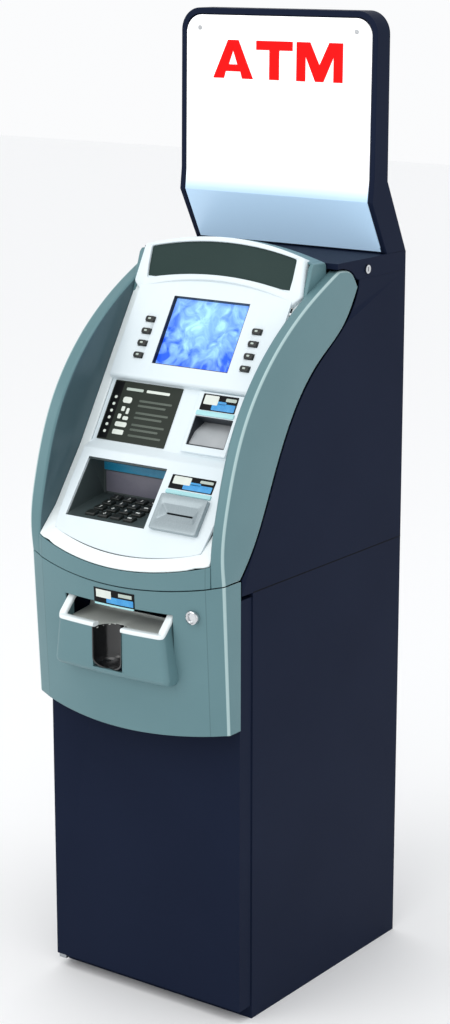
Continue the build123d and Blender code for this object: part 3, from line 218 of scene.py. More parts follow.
def dressed(name, node, body, material, width, segments=2, joined=True):
    """A merged copy of a CAD node's mesh, with its flat faces joined if asked, and rounded edges."""
    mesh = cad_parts[node].data.copy()
    mesh.name = name
    work = bmesh.new()
    work.from_mesh(mesh)
    bmesh.ops.remove_doubles(work, verts=work.verts, dist=0.00002)
    if joined:
        bmesh.ops.dissolve_limit(work, angle_limit=math.radians(0.6), verts=work.verts, edges=work.edges)
    work.to_mesh(mesh)
    work.free()
    piece = bpy.data.objects.new(name, mesh)
    bpy.context.collection.objects.link(piece)
    settle(piece, body, material, (node,))
    return rounded(piece, width, segments)


dressed("safe_shell", "safe_body", "cabinet", navy, 1.4)

# ---------------------------------------------------------------- safe door and its bolt work
# A pressed steel pan behind an 8 mm plate, hung on two pins, in the safe's own navy coat.
# Three zinc-plated bolts on a flat bar slide behind it, driven by the key lock's cam.

zinc = finish("zinc_plate", (176, 180, 184), (150, 155, 160), 0.25, 0.42, grain=260.0, patch=30.0, bump=0.05,
              metal=1.0)
bright_zinc = finish("turned_steel", (196, 198, 200), (172, 175, 178), 0.16, 0.3, grain=600.0, patch=50.0,
                     bump=0.04, metal=1.0)
dressed("door_pan", "safe_door", "door", navy, 2.4, 3)
dressed("door_pivots", "hinge_pivots", "cabinet", zinc, 0.8)
dressed("bolt_work", "bolt_bar", "bolts", bright_zinc, 0.8)

# ---------------------------------------------------------------- middle fascia
# One moulded cover of 4 mm silver-grey plastic, bowed between two creases, with a facet at each corner.
# It is screwed to the safe door and has an opening for the cash tray and a hole for the key lock.

BAND_FADE = 0.0008


def build_band(tree, given):
    """Color mixed by Share to Band where |X| is within Reach of Line, with a short fade beyond."""
    x = grown(tree, "SeparateXYZ", {"Vector": grown(tree, "TexCoord", {}, "Object")}, "X")
    apart = grown(tree, "Math", {0: grown(tree, "Math", {0: x}, operation="ABSOLUTE"), 1: given["Line"]},
                  operation="SUBTRACT")
    edge = grown(tree, "Math", {0: given["Reach"], 1: BAND_FADE}, operation="ADD")
    share = ramp(tree, grown(tree, "Math", {0: apart}, operation="ABSOLUTE"), given["Reach"], edge,
                 given["Share"], 0.0)
    return [grown(tree, "Mix", {"Factor": share, "A": given["Color"], "B": given["Band"]}, 2, data_type="RGBA")]


band_group = texture_group("band", build_band, ("Color", "Band", "Line", "Reach", "Share"), ("Color",))


def banded(material, line, reach, share, colour):
    """The material with a band of another colour along each side, painted as a highlight on a ridge or as shade
    on a crease or an inner wall.
    """
    tree = material.node_tree
    shader = tree.nodes["Principled BSDF"]
    node = tree.nodes.new("ShaderNodeGroup")
    node.node_tree = band_group
    for socket, value in (("Line", line), ("Reach", reach), ("Share", share), ("Band", linear(colour))):
        node.inputs[socket].default_value = value
    tree.links.new(shader.inputs["Base Color"].links[0].from_socket, node.inputs["Color"])
    tree.links.new(node.outputs["Color"], shader.inputs["Base Color"])
    return material


# A pale band painted as the highlight on the rounded front corners, and a dark band painted as shade along each
# crease.
RIDGE_PAINTED_HIGHLIGHT = (0.2172, 0.0017, 0.62, (196, 220, 220))
# A dark band painted as shade on the inner faces of the wings, which are the same grey as their fronts.
WING_INNER_PAINTED_SHADE = (0.185, 0.0078, 0.8, (58, 78, 87))
CREASE_SHADE = (0.1862, 0.0004, 0.45, (66, 94, 100))
silver_grey, wing_grey = (
    banded(banded(finish(name, (100, 134, 140), (90, 124, 130), 0.36, 0.5, grain=2600.0, patch=7.0, bump=0.12,
                         metal=0.12, coat=0.08, specular=0.3), *RIDGE_PAINTED_HIGHLIGHT), *band)
    for name, band in (("silver_grey_moulding", CREASE_SHADE), ("silver_grey_wing", WING_INNER_PAINTED_SHADE)))


def link(name, points, faces, body, slot_name, material, replaced=(), sharp=32.0):
    """A mesh piece from points in millimetres and lists of corner numbers; its faces turn outwards."""
    mesh = bpy.data.meshes.new(name)
    mesh.from_pydata((np.asarray(points, float) * MM).tolist(), [], [tuple(face) for face in faces])
    work = bmesh.new()
    work.from_mesh(mesh)
    bmesh.ops.remove_doubles(work, verts=work.verts, dist=0.000005)
    bmesh.ops.dissolve_degenerate(work, dist=0.000004, edges=work.edges)
    bmesh.ops.recalc_face_normals(work, faces=work.faces)
    work.to_mesh(mesh)
    work.free()
    piece = bpy.data.objects.new(name, mesh)
    bpy.context.collection.objects.link(piece)
    return settle(piece, body, material, replaced, sharp)


def quads(rows, columns, closed=False):
    """Corner numbers of the cells of a grid of rows and columns, whose rows may close on themselves."""
    r, c = np.meshgrid(np.arange(rows - 1), np.arange(columns if closed else columns - 1), indexing="ij")
    n = (c + 1) % columns
    cells = np.stack([r * columns + c, r * columns + n, (r + 1) * columns + n, (r + 1) * columns + c], -1)
    return cells.reshape(-1, 4)


def bent(points, radii, steps=8):
    """A line of straight runs with an arc of a radius at each inner corner, as an array of points."""
    points = np.asarray(points, float)
    line = [points[0]]
    for before, here, after, radius in zip(points[:-2], points[1:-1], points[2:], radii):
        a, b = before - here, after - here
        a, b = a / np.linalg.norm(a), b / np.linalg.norm(b)
        half_angle = math.acos(np.clip(np.dot(a, b), -1, 1)) / 2
        if radius <= 0 or half_angle > 1.55:
            line.append(here)
            continue
        reach = radius / math.tan(half_angle)
        middle = here + (a + b) / np.linalg.norm(a + b) * radius / math.sin(half_angle)
        start, end = here + a * reach - middle, here + b * reach - middle
        turn = math.acos(np.clip(np.dot(start, end) / radius ** 2, -1, 1))
        for t in np.linspace(0, 1, steps):
            line.append(middle + (math.sin((1 - t) * turn) * start + math.sin(t * turn) * end) / math.sin(turn))
    line.append(points[-1])
    return np.array(line)


def stops(line):
    """Distances along a line at which its points lie."""
    return np.concatenate([[0], np.cumsum(np.linalg.norm(np.diff(line, axis=0), axis=1))])


def along(line, s):
    """Points and right-hand normals at distances s along a line of points in a plane."""
    line = np.asarray(line, float)
    run = stops(line)
    slope = np.diff(line, axis=0) / np.diff(run)[:, None]
    knot = np.vstack([slope[:1], (slope[:-1] + slope[1:]) / 2, slope[-1:]])
    place = np.stack([np.interp(s, run, line[:, k]) for k in (0, 1)], -1)
    tangent = np.stack([np.interp(s, run, knot[:, k]) for k in (0, 1)], -1)
    tangent /= np.linalg.norm(tangent, axis=-1, keepdims=True)
    return place, np.stack([tangent[..., 1], -tangent[..., 0]], -1)


def sunk(line, s, depth):
    """Points at distances s along a line, and both coordinates of those points moved back by a depth."""
    place, normal = along(line, s)
    moved = place - normal * depth
    return place, moved[..., 0], moved[..., 1]


def plate(name, us, vs, holes, place, thick, *rest, **more):
    """A sheet over the grid us by vs without the cells of its holes, each (u0, u1, v0, v1).
    place(u, v, depth) gives the points: the front is at depth 0 and the back at depth thick."""
    us, vs = np.unique(np.round(us, 4)), np.unique(np.round(vs, 4))
    u, v = np.meshgrid(us, vs, indexing="ij")
    front = place(u, v, 0.0).reshape(-1, 3)
    back = place(u, v, thick).reshape(-1, 3)
    mid_u, mid_v = np.meshgrid((us[:-1] + us[1:]) / 2, (vs[:-1] + vs[1:]) / 2, indexing="ij")
    kept = np.ones(mid_u.shape, bool)
    for u0, u1, v0, v1 in holes:
        kept &= ~((mid_u > u0) & (mid_u < u1) & (mid_v > v0) & (mid_v < v1))
    cells = quads(len(us), len(vs))[kept.ravel()]
    edges = np.concatenate([cells[:, [k, (k + 1) % 4]] for k in range(4)])
    key = np.sort(edges, axis=1)
    _, first, count = np.unique(key, axis=0, return_index=True, return_counts=True)
    rim = edges[first[count == 1]]
    n = len(front)
    walls = np.stack([rim[:, 1], rim[:, 0], rim[:, 0] + n, rim[:, 1] + n], -1)
    faces = np.concatenate([cells, cells[:, ::-1] + n, walls])
    used = np.unique(faces)
    number = np.zeros(2 * n, int)
    number[used] = np.arange(len(used))
    return link(name, np.concatenate([front, back])[used], number[faces], *rest, **more)


HALF = 220.0
CREASE = (186.0, -341.0)
CORNER = (220.0, -328.0)
BOW_Y = -366.0
DOOR_FACE = -281.0
SEAM_Z = 850.0
FOOT_Z = 572.0
LEAN, LEAN_HEIGHT, FLANK_DEPTH = 16.5, 303.0, 47.0
COVER_THICK = 4.0
SEAM_DROOP, FOOT_DROOP = (8.0, 18.0), (5.0, 14.0)
TRAY_HALF = 122.5
TRAY_SPAN = (656.5, 786.5)
LOCK = (162.0, 788.0)
LOCK_REACH = 8


def bow(x, crease_value, middle_value):
    """A shallow parabola from a value at both creases to a value in the middle."""
    return middle_value + (crease_value - middle_value) * (np.abs(x) / CREASE[0]) ** 2


def drooping(x, corner_z, crease_drop, dip):
    """Height of a seam at x: level at the corner, a drop at the crease and a dip in the middle."""
    flank = corner_z - crease_drop * np.clip((HALF - np.abs(x)) / (HALF - CREASE[0]), 0, 1)
    crease_z = corner_z - crease_drop
    return np.where(np.abs(x) > CREASE[0], flank, bow(x, crease_z, crease_z - dip))


def plan_line(back_y):
    """The fascia seen from above, from its left rear edge round both creases to its right rear edge."""
    xs = np.linspace(-CREASE[0], CREASE[0], 41)
    front_line = np.stack([xs, bow(xs, CREASE[1], BOW_Y)], -1)
    left = bent([(-HALF, back_y), (-CORNER[0], CORNER[1]), (-CREASE[0], CREASE[1]), front_line[1]],
                (8.0, 5.0))
    right = left[::-1] * (-1, 1)
    return np.vstack([left[:-1], front_line[1:-1], right[1:]])


fascia_line = plan_line(DOOR_FACE + 0.4)


def line_stop(line, x):
    """Distance along the plan line at which its front reaches x."""
    front = np.abs(line[:, 0]) < CREASE[0]
    return float(np.interp(x, line[front, 0], stops(line)[front]))


def fascia_place(s, row, depth):
    """A point of the cover: s runs round the plan, row climbs from foot to seam, and the whole leans."""
    place, x, y = sunk(fascia_line, s, depth)
    marks = (drooping(x, FOOT_Z, *FOOT_DROOP), TRAY_SPAN[0], LOCK[1] - LOCK_REACH, TRAY_SPAN[1],
             LOCK[1] + LOCK_REACH, drooping(x, SEAM_Z - 2.0, *SEAM_DROOP))
    z = marks[0]
    for k, (low, high) in enumerate(zip(marks, marks[1:])):
        z = np.where((row >= k) & (row <= k + 1), low + (high - low) * (row - k), z)
    lean = LEAN * (SEAM_Z - z) / LEAN_HEIGHT * np.clip((DOOR_FACE - place[..., 1]) / FLANK_DEPTH, 0, 1)
    return np.stack([x, y + lean, z], -1)


tray_s, lock_s = ([line_stop(fascia_line, middle + side * reach) for side in (-1, 1)]
                  for middle, reach in ((0.0, TRAY_HALF), (LOCK[0], LOCK_REACH)))
fascia_rows = np.concatenate([np.linspace(0, 1, 7), np.linspace(1, 2, 8), [3, 4], np.linspace(4, 5, 6)])
rounded(plate("middle_fascia", np.concatenate([stops(fascia_line), tray_s, lock_s]), fascia_rows,
              [(*tray_s, 1, 3), (*lock_s, 2, 4)], fascia_place, COVER_THICK,
              "door", "grey_plastic", silver_grey, ("mid_fascia",)), 1.2, 2, 40.0)

# ---------------------------------------------------------------- cash tray
# A moulded scoop that stands out of the fascia: walls with sloping arms, a pale rim and a black finger well.
# The floor and the back of the pocket are a pressed sheet of bright metal, with the note slot at the back.

pale_rim = finish("pale_rim", (240, 247, 248), (226, 236, 238), 0.22, 0.34, grain=1800.0, patch=9.0, bump=0.05,
                  coat=0.3)
well_black = finish("well_black", (20, 22, 24), (11, 12, 14), 0.18, 0.32, grain=1200.0, patch=20.0, coat=0.4)
bright_sheet = finish("bright_sheet", (214, 218, 210), (176, 184, 184), 0.26, 0.4, grain=420.0, patch=14.0,
                      bump=0.06, metal=0.1)
TRAY_BACK = -340.0
TRAY_FRONT = -384.0
RIM_Z = 752.0
ARM_RISE = 34.0
TRAY_FOOT = 657.0
NOTCH = 31.0
NOTCH_FOOT = 672.0
ARM_HALF = 119.0
TRAY_BOW = 7.0
TRAY_FLARE = 0.085
CURL = 20.0
TRAY_THICK = 8.0


def tray_front(x):
    """Y of the tray's front wall at x: a shallow parabola."""
    return TRAY_FRONT + TRAY_BOW * (x / ARM_HALF) ** 2


tray_xs = np.linspace(-ARM_HALF, ARM_HALF, 25)
tray_bow = np.stack([tray_xs, tray_front(tray_xs)], -1)
tray_left = bent([(-ARM_HALF, TRAY_BACK), (-ARM_HALF, tray_bow[0, 1]), tray_bow[2]], (11.0,), 9)
tray_line = np.vstack([tray_left[:-1], tray_bow[2:-2], tray_left[::-1][1:] * (-1, 1)])
tray_stops = stops(tray_line)


def tray_top(y):
    """Height of the walls' top at y: level in front, then the arms climb towards the fascia."""
    return RIM_Z + np.clip((y - TRAY_FRONT - 10.0) / (TRAY_BACK - TRAY_FRONT - 10.0), 0, 1) * ARM_RISE


def tray_place(s, row, depth):
    """A point of the tray's wall: rows run down from its top edge, flare out and curl under at the foot."""
    place, x, y = sunk(tray_line, s, depth)
    top = tray_top(place[..., 1])
    turn = np.clip(row - 1, 0, 1) * math.pi / 2
    z = np.where(row <= 1, top + (NOTCH_FOOT - top) * row,
                 TRAY_FOOT + (NOTCH_FOOT - TRAY_FOOT) * (1 - np.sin(turn)))
    flare = 1 + TRAY_FLARE * np.clip((RIM_Z - z) / (RIM_Z - NOTCH_FOOT), 0, 1)
    back = (1 - np.cos(turn)) * CURL * np.clip((TRAY_BACK - y) / 40.0, 0, 1)
    return np.stack([x * flare * (1 - 0.05 * (1 - np.cos(turn))), y + back, z], -1)


notch_s = [float(np.interp(x, tray_line[3:-3, 0], tray_stops[3:-3])) for x in (-NOTCH, NOTCH)]
tray_rows = np.concatenate([np.linspace(0, 1, 7), np.linspace(1, 2, 8)])
rounded(plate("tray_walls", np.concatenate([tray_stops, notch_s]), tray_rows, [(*notch_s, -1, 1)], tray_place,
              TRAY_THICK, "door", "grey_plastic", silver_grey, ("cash_tray",)), 1.6, 3, 40.0)


def looped(name, rings, *rest, **more):
    """A closed moulding through rings of points, whose last ring joins the first."""
    rings = np.array([*rings, rings[0]])
    return link(name, rings.reshape(-1, 3), quads(len(rings), rings.shape[1], True), *rest, **more)


def capped(name, rings, *rest, **more):
    """A solid through rings of points, with a flat cap on its first ring and on its last."""
    rings = np.array(rings)
    count = rings.shape[1]
    caps = [list(range(count)), list(range((len(rings) - 1) * count, len(rings) * count))]
    return link(name, rings.reshape(-1, 3), quads(len(rings), count, True).tolist() + caps, *rest, **more)


def round_section(width, height, radius, steps=4):
    """A rounded rectangle about its centre, as (side, up) offsets."""
    corners = []
    for cx, cy, start in ((1, 1, 0), (-1, 1, 90), (-1, -1, 180), (1, -1, 270)):
        t = np.radians(start + np.linspace(0, 90, steps))
        corners.append(np.stack([cx * (width / 2 - radius) + radius * np.cos(t),
                                 cy * (height / 2 - radius) + radius * np.sin(t)], -1))
    return np.vstack(corners)


RIM_INSET, RIM_SINK = 6.2, 2.2
rim_section = round_section(15.6, 8.6, 3.4)
for side, first, last in (("left", 0.0, notch_s[0]), ("right", notch_s[1], tray_stops[-1])):
    spot = np.unique(np.clip(np.concatenate([tray_stops, [first, last]]), first, last))
    place, normal = along(tray_line, spot)
    inner = place - normal * RIM_INSET
    path = np.stack([inner[:, 0], inner[:, 1], tray_top(place[:, 1]) - RIM_SINK], -1)
    tangent = np.gradient(path, axis=0)
    tangent /= np.linalg.norm(tangent, axis=1, keepdims=True)
    across = np.stack([normal[:, 0], normal[:, 1], np.zeros(len(spot))], -1)
    rise = np.cross(tangent, across)
    rise *= np.sign(rise[:, 2:])
    capped("tray_rim_" + side, path[:, None] + across[:, None] * rim_section[None, :, :1]
           + rise[:, None] * rim_section[None, :, 1:], "door", "white_plastic", pale_rim)

WELL_Y = -378.0
WELL_TOP, WELL_BEND, WELL_FOOT = 746.0, 690.0, 673.0
well_turn = np.linspace(0, math.pi, 17)
well_line = np.vstack([[(NOTCH, WELL_Y - 7.0)],
                       np.stack([NOTCH * np.cos(well_turn), 34.0 * np.sin(well_turn) + WELL_Y], -1),
                       [(-NOTCH, WELL_Y - 7.0)]])


def well_place(s, row, depth):
    """A point of the finger well: an upright half round whose foot closes in like a bowl."""
    place, _ = along(well_line, s)
    turn = np.clip(row - 1, 0, 1) * math.pi / 2
    grow = np.cos(turn) + depth / NOTCH
    z = WELL_TOP + (WELL_BEND - WELL_TOP) * np.clip(row, 0, 1) + (WELL_FOOT - WELL_BEND) * np.sin(turn)
    y = WELL_Y + (place[..., 1] - WELL_Y) * grow
    return np.stack([place[..., 0] * grow, y, z - depth * (row > 1)], -1)


plate("finger_well", stops(well_line), np.linspace(0, 2, 15), [], well_place, 2.0,
      "door", "black_plastic", well_black)

SHEET_THICK = 1.5
FLOOR_LINE = bent([(-375.0, 743.0), (-296.0, 753.0), (-288.5, 784.0)], (6.0,), 9)
THROAT_HALF = 88.0


def floor_place(x, s, depth):
    """A point of the pocket's floor and back, which share one bent profile."""
    return np.stack([x, *sunk(FLOOR_LINE, s, -depth)[1:]], -1)


floor_s = stops(FLOOR_LINE)
slot_s = (floor_s[-1] - 27.0, floor_s[-1] - 9.0)
scoop_steps = ((30.0, 14.0), (26.0, 22.0), (18.0, 28.0), (9.0, 31.0))
floor_holes = [(-x, x, -1, reach) for x, reach in scoop_steps] + [(-THROAT_HALF, THROAT_HALF, *slot_s)]
floor_xs = [side * x for side in (-1, 1) for x in (111.0, THROAT_HALF, *(step[0] for step in scoop_steps))]
rounded(plate("tray_floor", floor_xs, np.concatenate([floor_s, [step[1] for step in scoop_steps], slot_s]),
              floor_holes, floor_place, SHEET_THICK, "door", "steel", bright_sheet), 0.4, 1, 40.0)

# ---------------------------------------------------------------- key lock of the fascia
# A nickel-plated plug in a domed ring, with an upright key slot, set in the right of the middle fascia.
# Its spindle passes through the door and reaches the bolt work behind it.

nickel = finish("nickel_plate", (214, 216, 218), (190, 193, 196), 0.12, 0.24, patch=60.0, bump=0.03, metal=1.0)
# A dark finish for the painted shade in the seam between the safe and the cabinet.
seam_painted_shade = finish("seam_painted_shade", (12, 13, 15), (7, 8, 9), 0.4, 0.6, patch=40.0, bump=0.05, specular=0.03)
LOCK_FACE = -349.5


def turned(name, profile, centre, axis, *rest, count=40, **more):
    """A profile of (distance along the axis, radius) turned about an axis through a centre."""
    axis = np.asarray(axis, float) / np.linalg.norm(axis)
    first = np.cross(axis, (0.0, 0.0, 1.0) if abs(axis[2]) < 0.9 else (1.0, 0.0, 0.0))
    first /= np.linalg.norm(first)
    second = np.cross(axis, first)
    t = np.linspace(0, 2 * math.pi, count, endpoint=False)
    ring = np.cos(t)[:, None] * first + np.sin(t)[:, None] * second
    profile = np.asarray(profile, float)
    points = np.asarray(centre, float) + profile[:, None, :1] * axis + profile[:, None, 1:] * ring[None]
    return link(name, points.reshape(-1, 3), quads(len(profile), count, True), *rest, **more)


dressed("fascia_lock_works", "lock_plug", "key_lock", nickel, 0.5)
turned("fascia_lock_ring", [(-0.2, 0), (-0.2, 8.1), (2.2, 8.1), (3.6, 9.0), (3.8, 10.4), (3.0, 12.2),
                            (0.2, 13.2), (-6.0, 13.2), (-6.0, 0)],
       (LOCK[0], LOCK_FACE + 3.0, LOCK[1]), (0, -1, 0), "door", "silver", nickel)

# ---------------------------------------------------------------- door seal
# A narrow strip round the safe's mouth that closes most of the gap between the door and the jamb.
# It is coated with the safe, and stays on it when the door swings away.

SEAL_OUTSIDE, SEAL_INSIDE = (218.6, 27.0, 811.0), (214.0, 32.0, 806.0)
SEAL_FRONT, SEAL_BACK = -246.6, -244.5
looped("door_seal", [[(-half, y, foot), (half, y, foot), (half, y, top), (-half, y, top)]
                     for (half, foot, top), y in ((SEAL_OUTSIDE, SEAL_BACK), (SEAL_OUTSIDE, SEAL_FRONT),
                                                  (SEAL_INSIDE, SEAL_FRONT), (SEAL_INSIDE, SEAL_BACK))],
       "cabinet", "black_plastic", navy)

# ---------------------------------------------------------------- upper cabinet, topper base and what they hold
# Folded 2 mm sheet in the safe's navy coat, with a dark strip painted as the shade of the seam where it meets the
# safe, and vents behind.
# Inside are the control computer, its power supply and the channels that the fascia slides on.

dressed("cabinet_shell", "upper_cabinet", "cabinet", navy, 0.9, joined=False)
SEAM_HALF, SEAM_FRONT, SEAM_REAR = 220.1, -244.0, 245.1
# A thin dark ring painted as the shade in the groove between the safe and the cabinet.
looped("cabinet_seam", [[(i - SEAM_HALF, SEAM_FRONT, z), (SEAM_HALF - i, SEAM_FRONT, z),
                         (SEAM_HALF - i, SEAM_REAR - i, z), (i - SEAM_HALF, SEAM_REAR - i, z)]
                        for i, z in ((1.0, 819.2), (0.0, 819.2), (0.0, 821.0), (1.0, 821.0))],
       "cabinet", "black_plastic", seam_painted_shade)
dressed("topper_cap", "topper_base", "cabinet", navy, 1.6)
black_moulding = finish("black_moulding", (30, 32, 34), (19, 21, 23), 0.38, 0.56, grain=1500.0, patch=16.0,
                        bump=0.2)
for name, node, slot_name, material, width in (
        ("mains_inlet", "power_inlet", "black_plastic", black_moulding, 0.8),
        ("computer_case", "computer_box", "steel", zinc, 1.0),
        ("supply_case", "power_supply", "steel", zinc, 1.0),
        ("cabinet_channels", "cabinet_rails", "steel", zinc, 0.6)):
    dressed(name, node, "cabinet", material, width)
dressed("fascia_runners", "fascia_rails", "fascia", bright_zinc, 0.6)
dressed("side_cam_lock", "top_lock", "cam_lock", nickel, 0.6)

# ---------------------------------------------------------------- cash dispenser
# Two zinc-plated side plates hold the note cassette and the roller that pushes notes out of the throat.
# The frame stands inside the safe behind the tray, where the open door gives room to lift the cassette out.

rubber = finish("ground_rubber", (34, 33, 32), (24, 24, 24), 0.55, 0.72, grain=1100.0, patch=20.0, bump=0.3)
dressed("dispenser_plates", "dispenser_frame", "cabinet", zinc, 0.8)
dressed("note_cassette", "cash_cassette", "cabinet", black_moulding, 3.0, 3)
dressed("note_roller", "feed_roller", "feed", rubber, 1.0)

# ---------------------------------------------------------------- wings, chin and hood
# Hollow silver-grey mouldings: two swept wings, the chin band that joins them in front and a hood on top.
# They are one frame, which carries the whole customer fascia and slides forward on two runners.

WING_IN = 192.0
WING_THICK = 28.0
WING_STEP, WING_DROP = 13.0 / 34.0, 8.0 / 34.0
FRONT_POINTS = ((-328, 850), (-333, 895), (-318, 992), (-273, 1113), (-192, 1221), (-75, 1309), (22, 1358))
SHOULDER_POINTS = ((22, 1358), (62, 1351), (84, 1322))
REAR_POINTS = ((84, 1322), (42, 1261), (-43, 1200), (-125, 1113), (-189, 997), (-252, 884), (-281, 850))


def curve_through(points, count):
    """A natural cubic spline through points, sampled evenly along its chords."""
    points = np.asarray(points, float)
    t = stops(points)
    h = np.diff(t)
    n = len(points)
    rows, right = np.eye(n), np.zeros((n, 2))
    for i in range(1, n - 1):
        rows[i, i - 1:i + 2] = h[i - 1], 2 * (h[i - 1] + h[i]), h[i]
        right[i] = 6 * ((points[i + 1] - points[i]) / h[i] - (points[i] - points[i - 1]) / h[i - 1])
    bend = np.linalg.solve(rows, right)
    s = np.linspace(0, t[-1], count)
    k = np.clip(np.searchsorted(t, s) - 1, 0, n - 2)
    a, b = ((t[k + 1] - s) / h[k])[:, None], ((s - t[k]) / h[k])[:, None]
    return (a * points[k] + b * points[k + 1]
            + ((a ** 3 - a) * bend[k] + (b ** 3 - b) * bend[k + 1]) * (h[k] ** 2)[:, None] / 6)


FRONT_COUNT = 60
wing_loop = np.vstack([curve_through(FRONT_POINTS, FRONT_COUNT + 1)[:-1],
                       curve_through(SHOULDER_POINTS, 17)[:-1], curve_through(REAR_POINTS, 49)])
wing_ahead = np.roll(wing_loop, -1, 0) - np.roll(wing_loop, 1, 0)
wing_ahead[0] = wing_loop[1] - wing_loop[0]
wing_ahead[-1] = wing_loop[-1] - wing_loop[-2]
wing_ahead /= np.linalg.norm(wing_ahead, axis=1)[:, None]
wing_normal = np.stack([wing_ahead[:, 1], -wing_ahead[:, 0]], -1)
wing_share = np.clip((980.0 - wing_loop[:, 1]) / 130.0, 0, 1) ** 1.5
wing_share[FRONT_COUNT:] = 0.0


def wing_levels():
    """Pairs of (distance from the outer face, inset): a round edge, a soft ridge and a round inner edge."""
    t = np.radians(np.linspace(0, 90, 7))
    outer = [(5.5 * (1 - math.sin(a)), 5.5 * (1 - math.cos(a))) for a in t[::-1]]
    inner = [(WING_THICK - 7.0 * (1 - math.sin(a)), 7.0 * (1 - math.cos(a)) + 0.9) for a in t]
    return outer + [(9.0, 0.5), (12.0, 0.9)] + inner


for side, sign in (("left", -1), ("right", 1)):
    rings = []
    for distance, inset in wing_levels():
        yz = wing_loop + wing_normal * inset
        step = WING_STEP * distance * wing_share
        drop = WING_DROP * distance * np.clip((905.0 - yz[:, 1]) / 55.0, 0, 1)
        rings.append(np.stack([np.full(len(yz), sign * (HALF - distance)), yz[:, 0] - step,
                               np.maximum(yz[:, 1] - drop, SEAM_Z - 8.0)], -1))
    capped("wing_" + side, rings, "fascia", "grey_plastic", wing_grey,
           ("wing_frame",) if side == "left" else (), sharp=40.0)

LIP_Z = 857.0
LIP_SLOPE = 25.0 / 26.0
chin_line = plan_line(DOOR_FACE)
chin_span = [line_stop(chin_line, x) for x in (-CREASE[0] + 0.01, CREASE[0] - 0.01)]
CHIN_WRAP = 9.6
chin_s = np.unique(np.clip(stops(chin_line), chin_span[0] - CHIN_WRAP, chin_span[1] + CHIN_WRAP))


def chin_place(s, row, depth):
    """A point of the chin band, between the drooping seam and the edge of the pale lip."""
    place, x, y = sunk(chin_line, s, depth)
    low = drooping(x, SEAM_Z, *SEAM_DROOP)
    high = LIP_Z + (place[..., 1] - BOW_Y) / LIP_SLOPE - 3.5
    return np.stack([x, y, low + (high - low) * row], -1)


rounded(plate("chin_band", chin_s, np.linspace(0, 1, 5), [], chin_place, COVER_THICK,
              "fascia", "grey_plastic", silver_grey), 1.0, 2, 50.0)

HOOD_FRONT, HOOD_REAR = -26.0, 14.0
HOOD_SIDE_Z, HOOD_MIDDLE_Z = 1374.0, 1402.0
HOOD_ROUND, HOOD_TURN_DOWN = 6.0, 26.0


def hood_place(x, row, depth):
    """A point of the hood: rows run back over an arch to 1, round its rear edge to 2 and down to 3."""
    z = HOOD_MIDDLE_Z - (HOOD_MIDDLE_Z - HOOD_SIDE_Z) * (x / WING_IN) ** 2
    turn = np.clip(row - 1, 0, 1) * math.pi / 2
    y = HOOD_FRONT + (HOOD_REAR - HOOD_ROUND - HOOD_FRONT) * np.clip(row, 0, 1) + HOOD_ROUND * np.sin(turn)
    z = z - HOOD_ROUND * (1 - np.cos(turn)) - np.clip(row - 2, 0, 1) * HOOD_TURN_DOWN
    return np.stack([x, y - depth * np.sin(turn), z - depth * np.cos(turn)], -1)


plate("hood", np.linspace(-WING_IN - 2, WING_IN + 2, 41), [0, 0.5, 1, 1.2, 1.4, 1.6, 1.8, 2, 3], [],
      hood_place, 3.0, "fascia", "grey_plastic", silver_grey)

CHEEK = ((-58.0, 1296.0), (-32.0, 1368.0), (-26.0, 1374.0), (8.0, 1374.0), (14.0, 1368.0), (14.0, 1296.0))
for side, xs in (("left", (-WING_IN - 4.0, -WING_IN + 5.0)), ("right", (WING_IN - 5.0, WING_IN + 4.0))):
    rounded(capped("hood_cheek_" + side, [[(x, y, z) for y, z in CHEEK] for x in xs],
                   "fascia", "grey_plastic", silver_grey), 2.0, 3)

# ---------------------------------------------------------------- pale border and lip
# A light moulding, glossier than the panel, that lies between the wings behind the inner panel.
# It shows as a strip on each side of that panel and as a broad lip along its bowed foot.

UPPER = (-103.0, 1240.0, math.radians(31.5))
LOWER = (-276.5, 969.0, math.radians(36.0))


def tier_y(tier, z, behind=0.0):
    """Y of a tier's front at height z, moved back by a distance along its normal."""
    return tier[0] + math.tan(tier[2]) * (z - tier[1]) + behind / math.cos(tier[2])


def on_tier(tier, x, v, out=0.0):
    """Points at x and v up a tier from its origin, standing out from its surface."""
    x, v, out = np.broadcast_arrays(np.asarray(x, float), v, out)
    s, c = math.sin(tier[2]), math.cos(tier[2])
    return np.stack([x, tier[0] + v * s - out * c, tier[1] + v * c + out * s], -1)


def up(tier, z):
    """Distance up a tier of a point at height z."""
    return (z - tier[1]) / math.cos(tier[2])


cross_z = (LOWER[0] - UPPER[0] + math.tan(UPPER[2]) * UPPER[1] - math.tan(LOWER[2]) * LOWER[1]) / (
    math.tan(UPPER[2]) - math.tan(LOWER[2]))
PANEL_HALF = 172.0
PANEL_FOOT_HALF = 165.6
BORDER_HALF = PANEL_HALF - 0.5
BORDER_DROP = 9.0
BORDER_TOP = 1318.0


def lip_y(z):
    """Y of the lip's sloping top at height z."""
    return BOW_Y + (z - LIP_Z) * LIP_SLOPE


def foot_z(x):
    """Height of the inner panel's bowed foot."""
    return bow(x * CREASE[0] / PANEL_FOOT_HALF, 899.0, 876.0)


def narrowed(x, z, start=155.0):
    """X drawn in beyond start, by a share that grows from a height of 945 to the panel's foot."""
    share = np.clip((945.0 - z) / 46.0, 0, 1)
    return np.where(np.abs(x) > start, np.sign(x) * (start + (np.abs(x) - start) * (1 - 0.376 * share)), x)


border_line = bent([(tier_y(UPPER, BORDER_TOP, BORDER_DROP), BORDER_TOP),
                    (tier_y(UPPER, cross_z, BORDER_DROP), cross_z), (tier_y(LOWER, 930.0, BORDER_DROP), 930.0),
                    (lip_y(905.0), 905.0), (lip_y(846.0), 846.0)], (60.0, 14.0, 14.0))


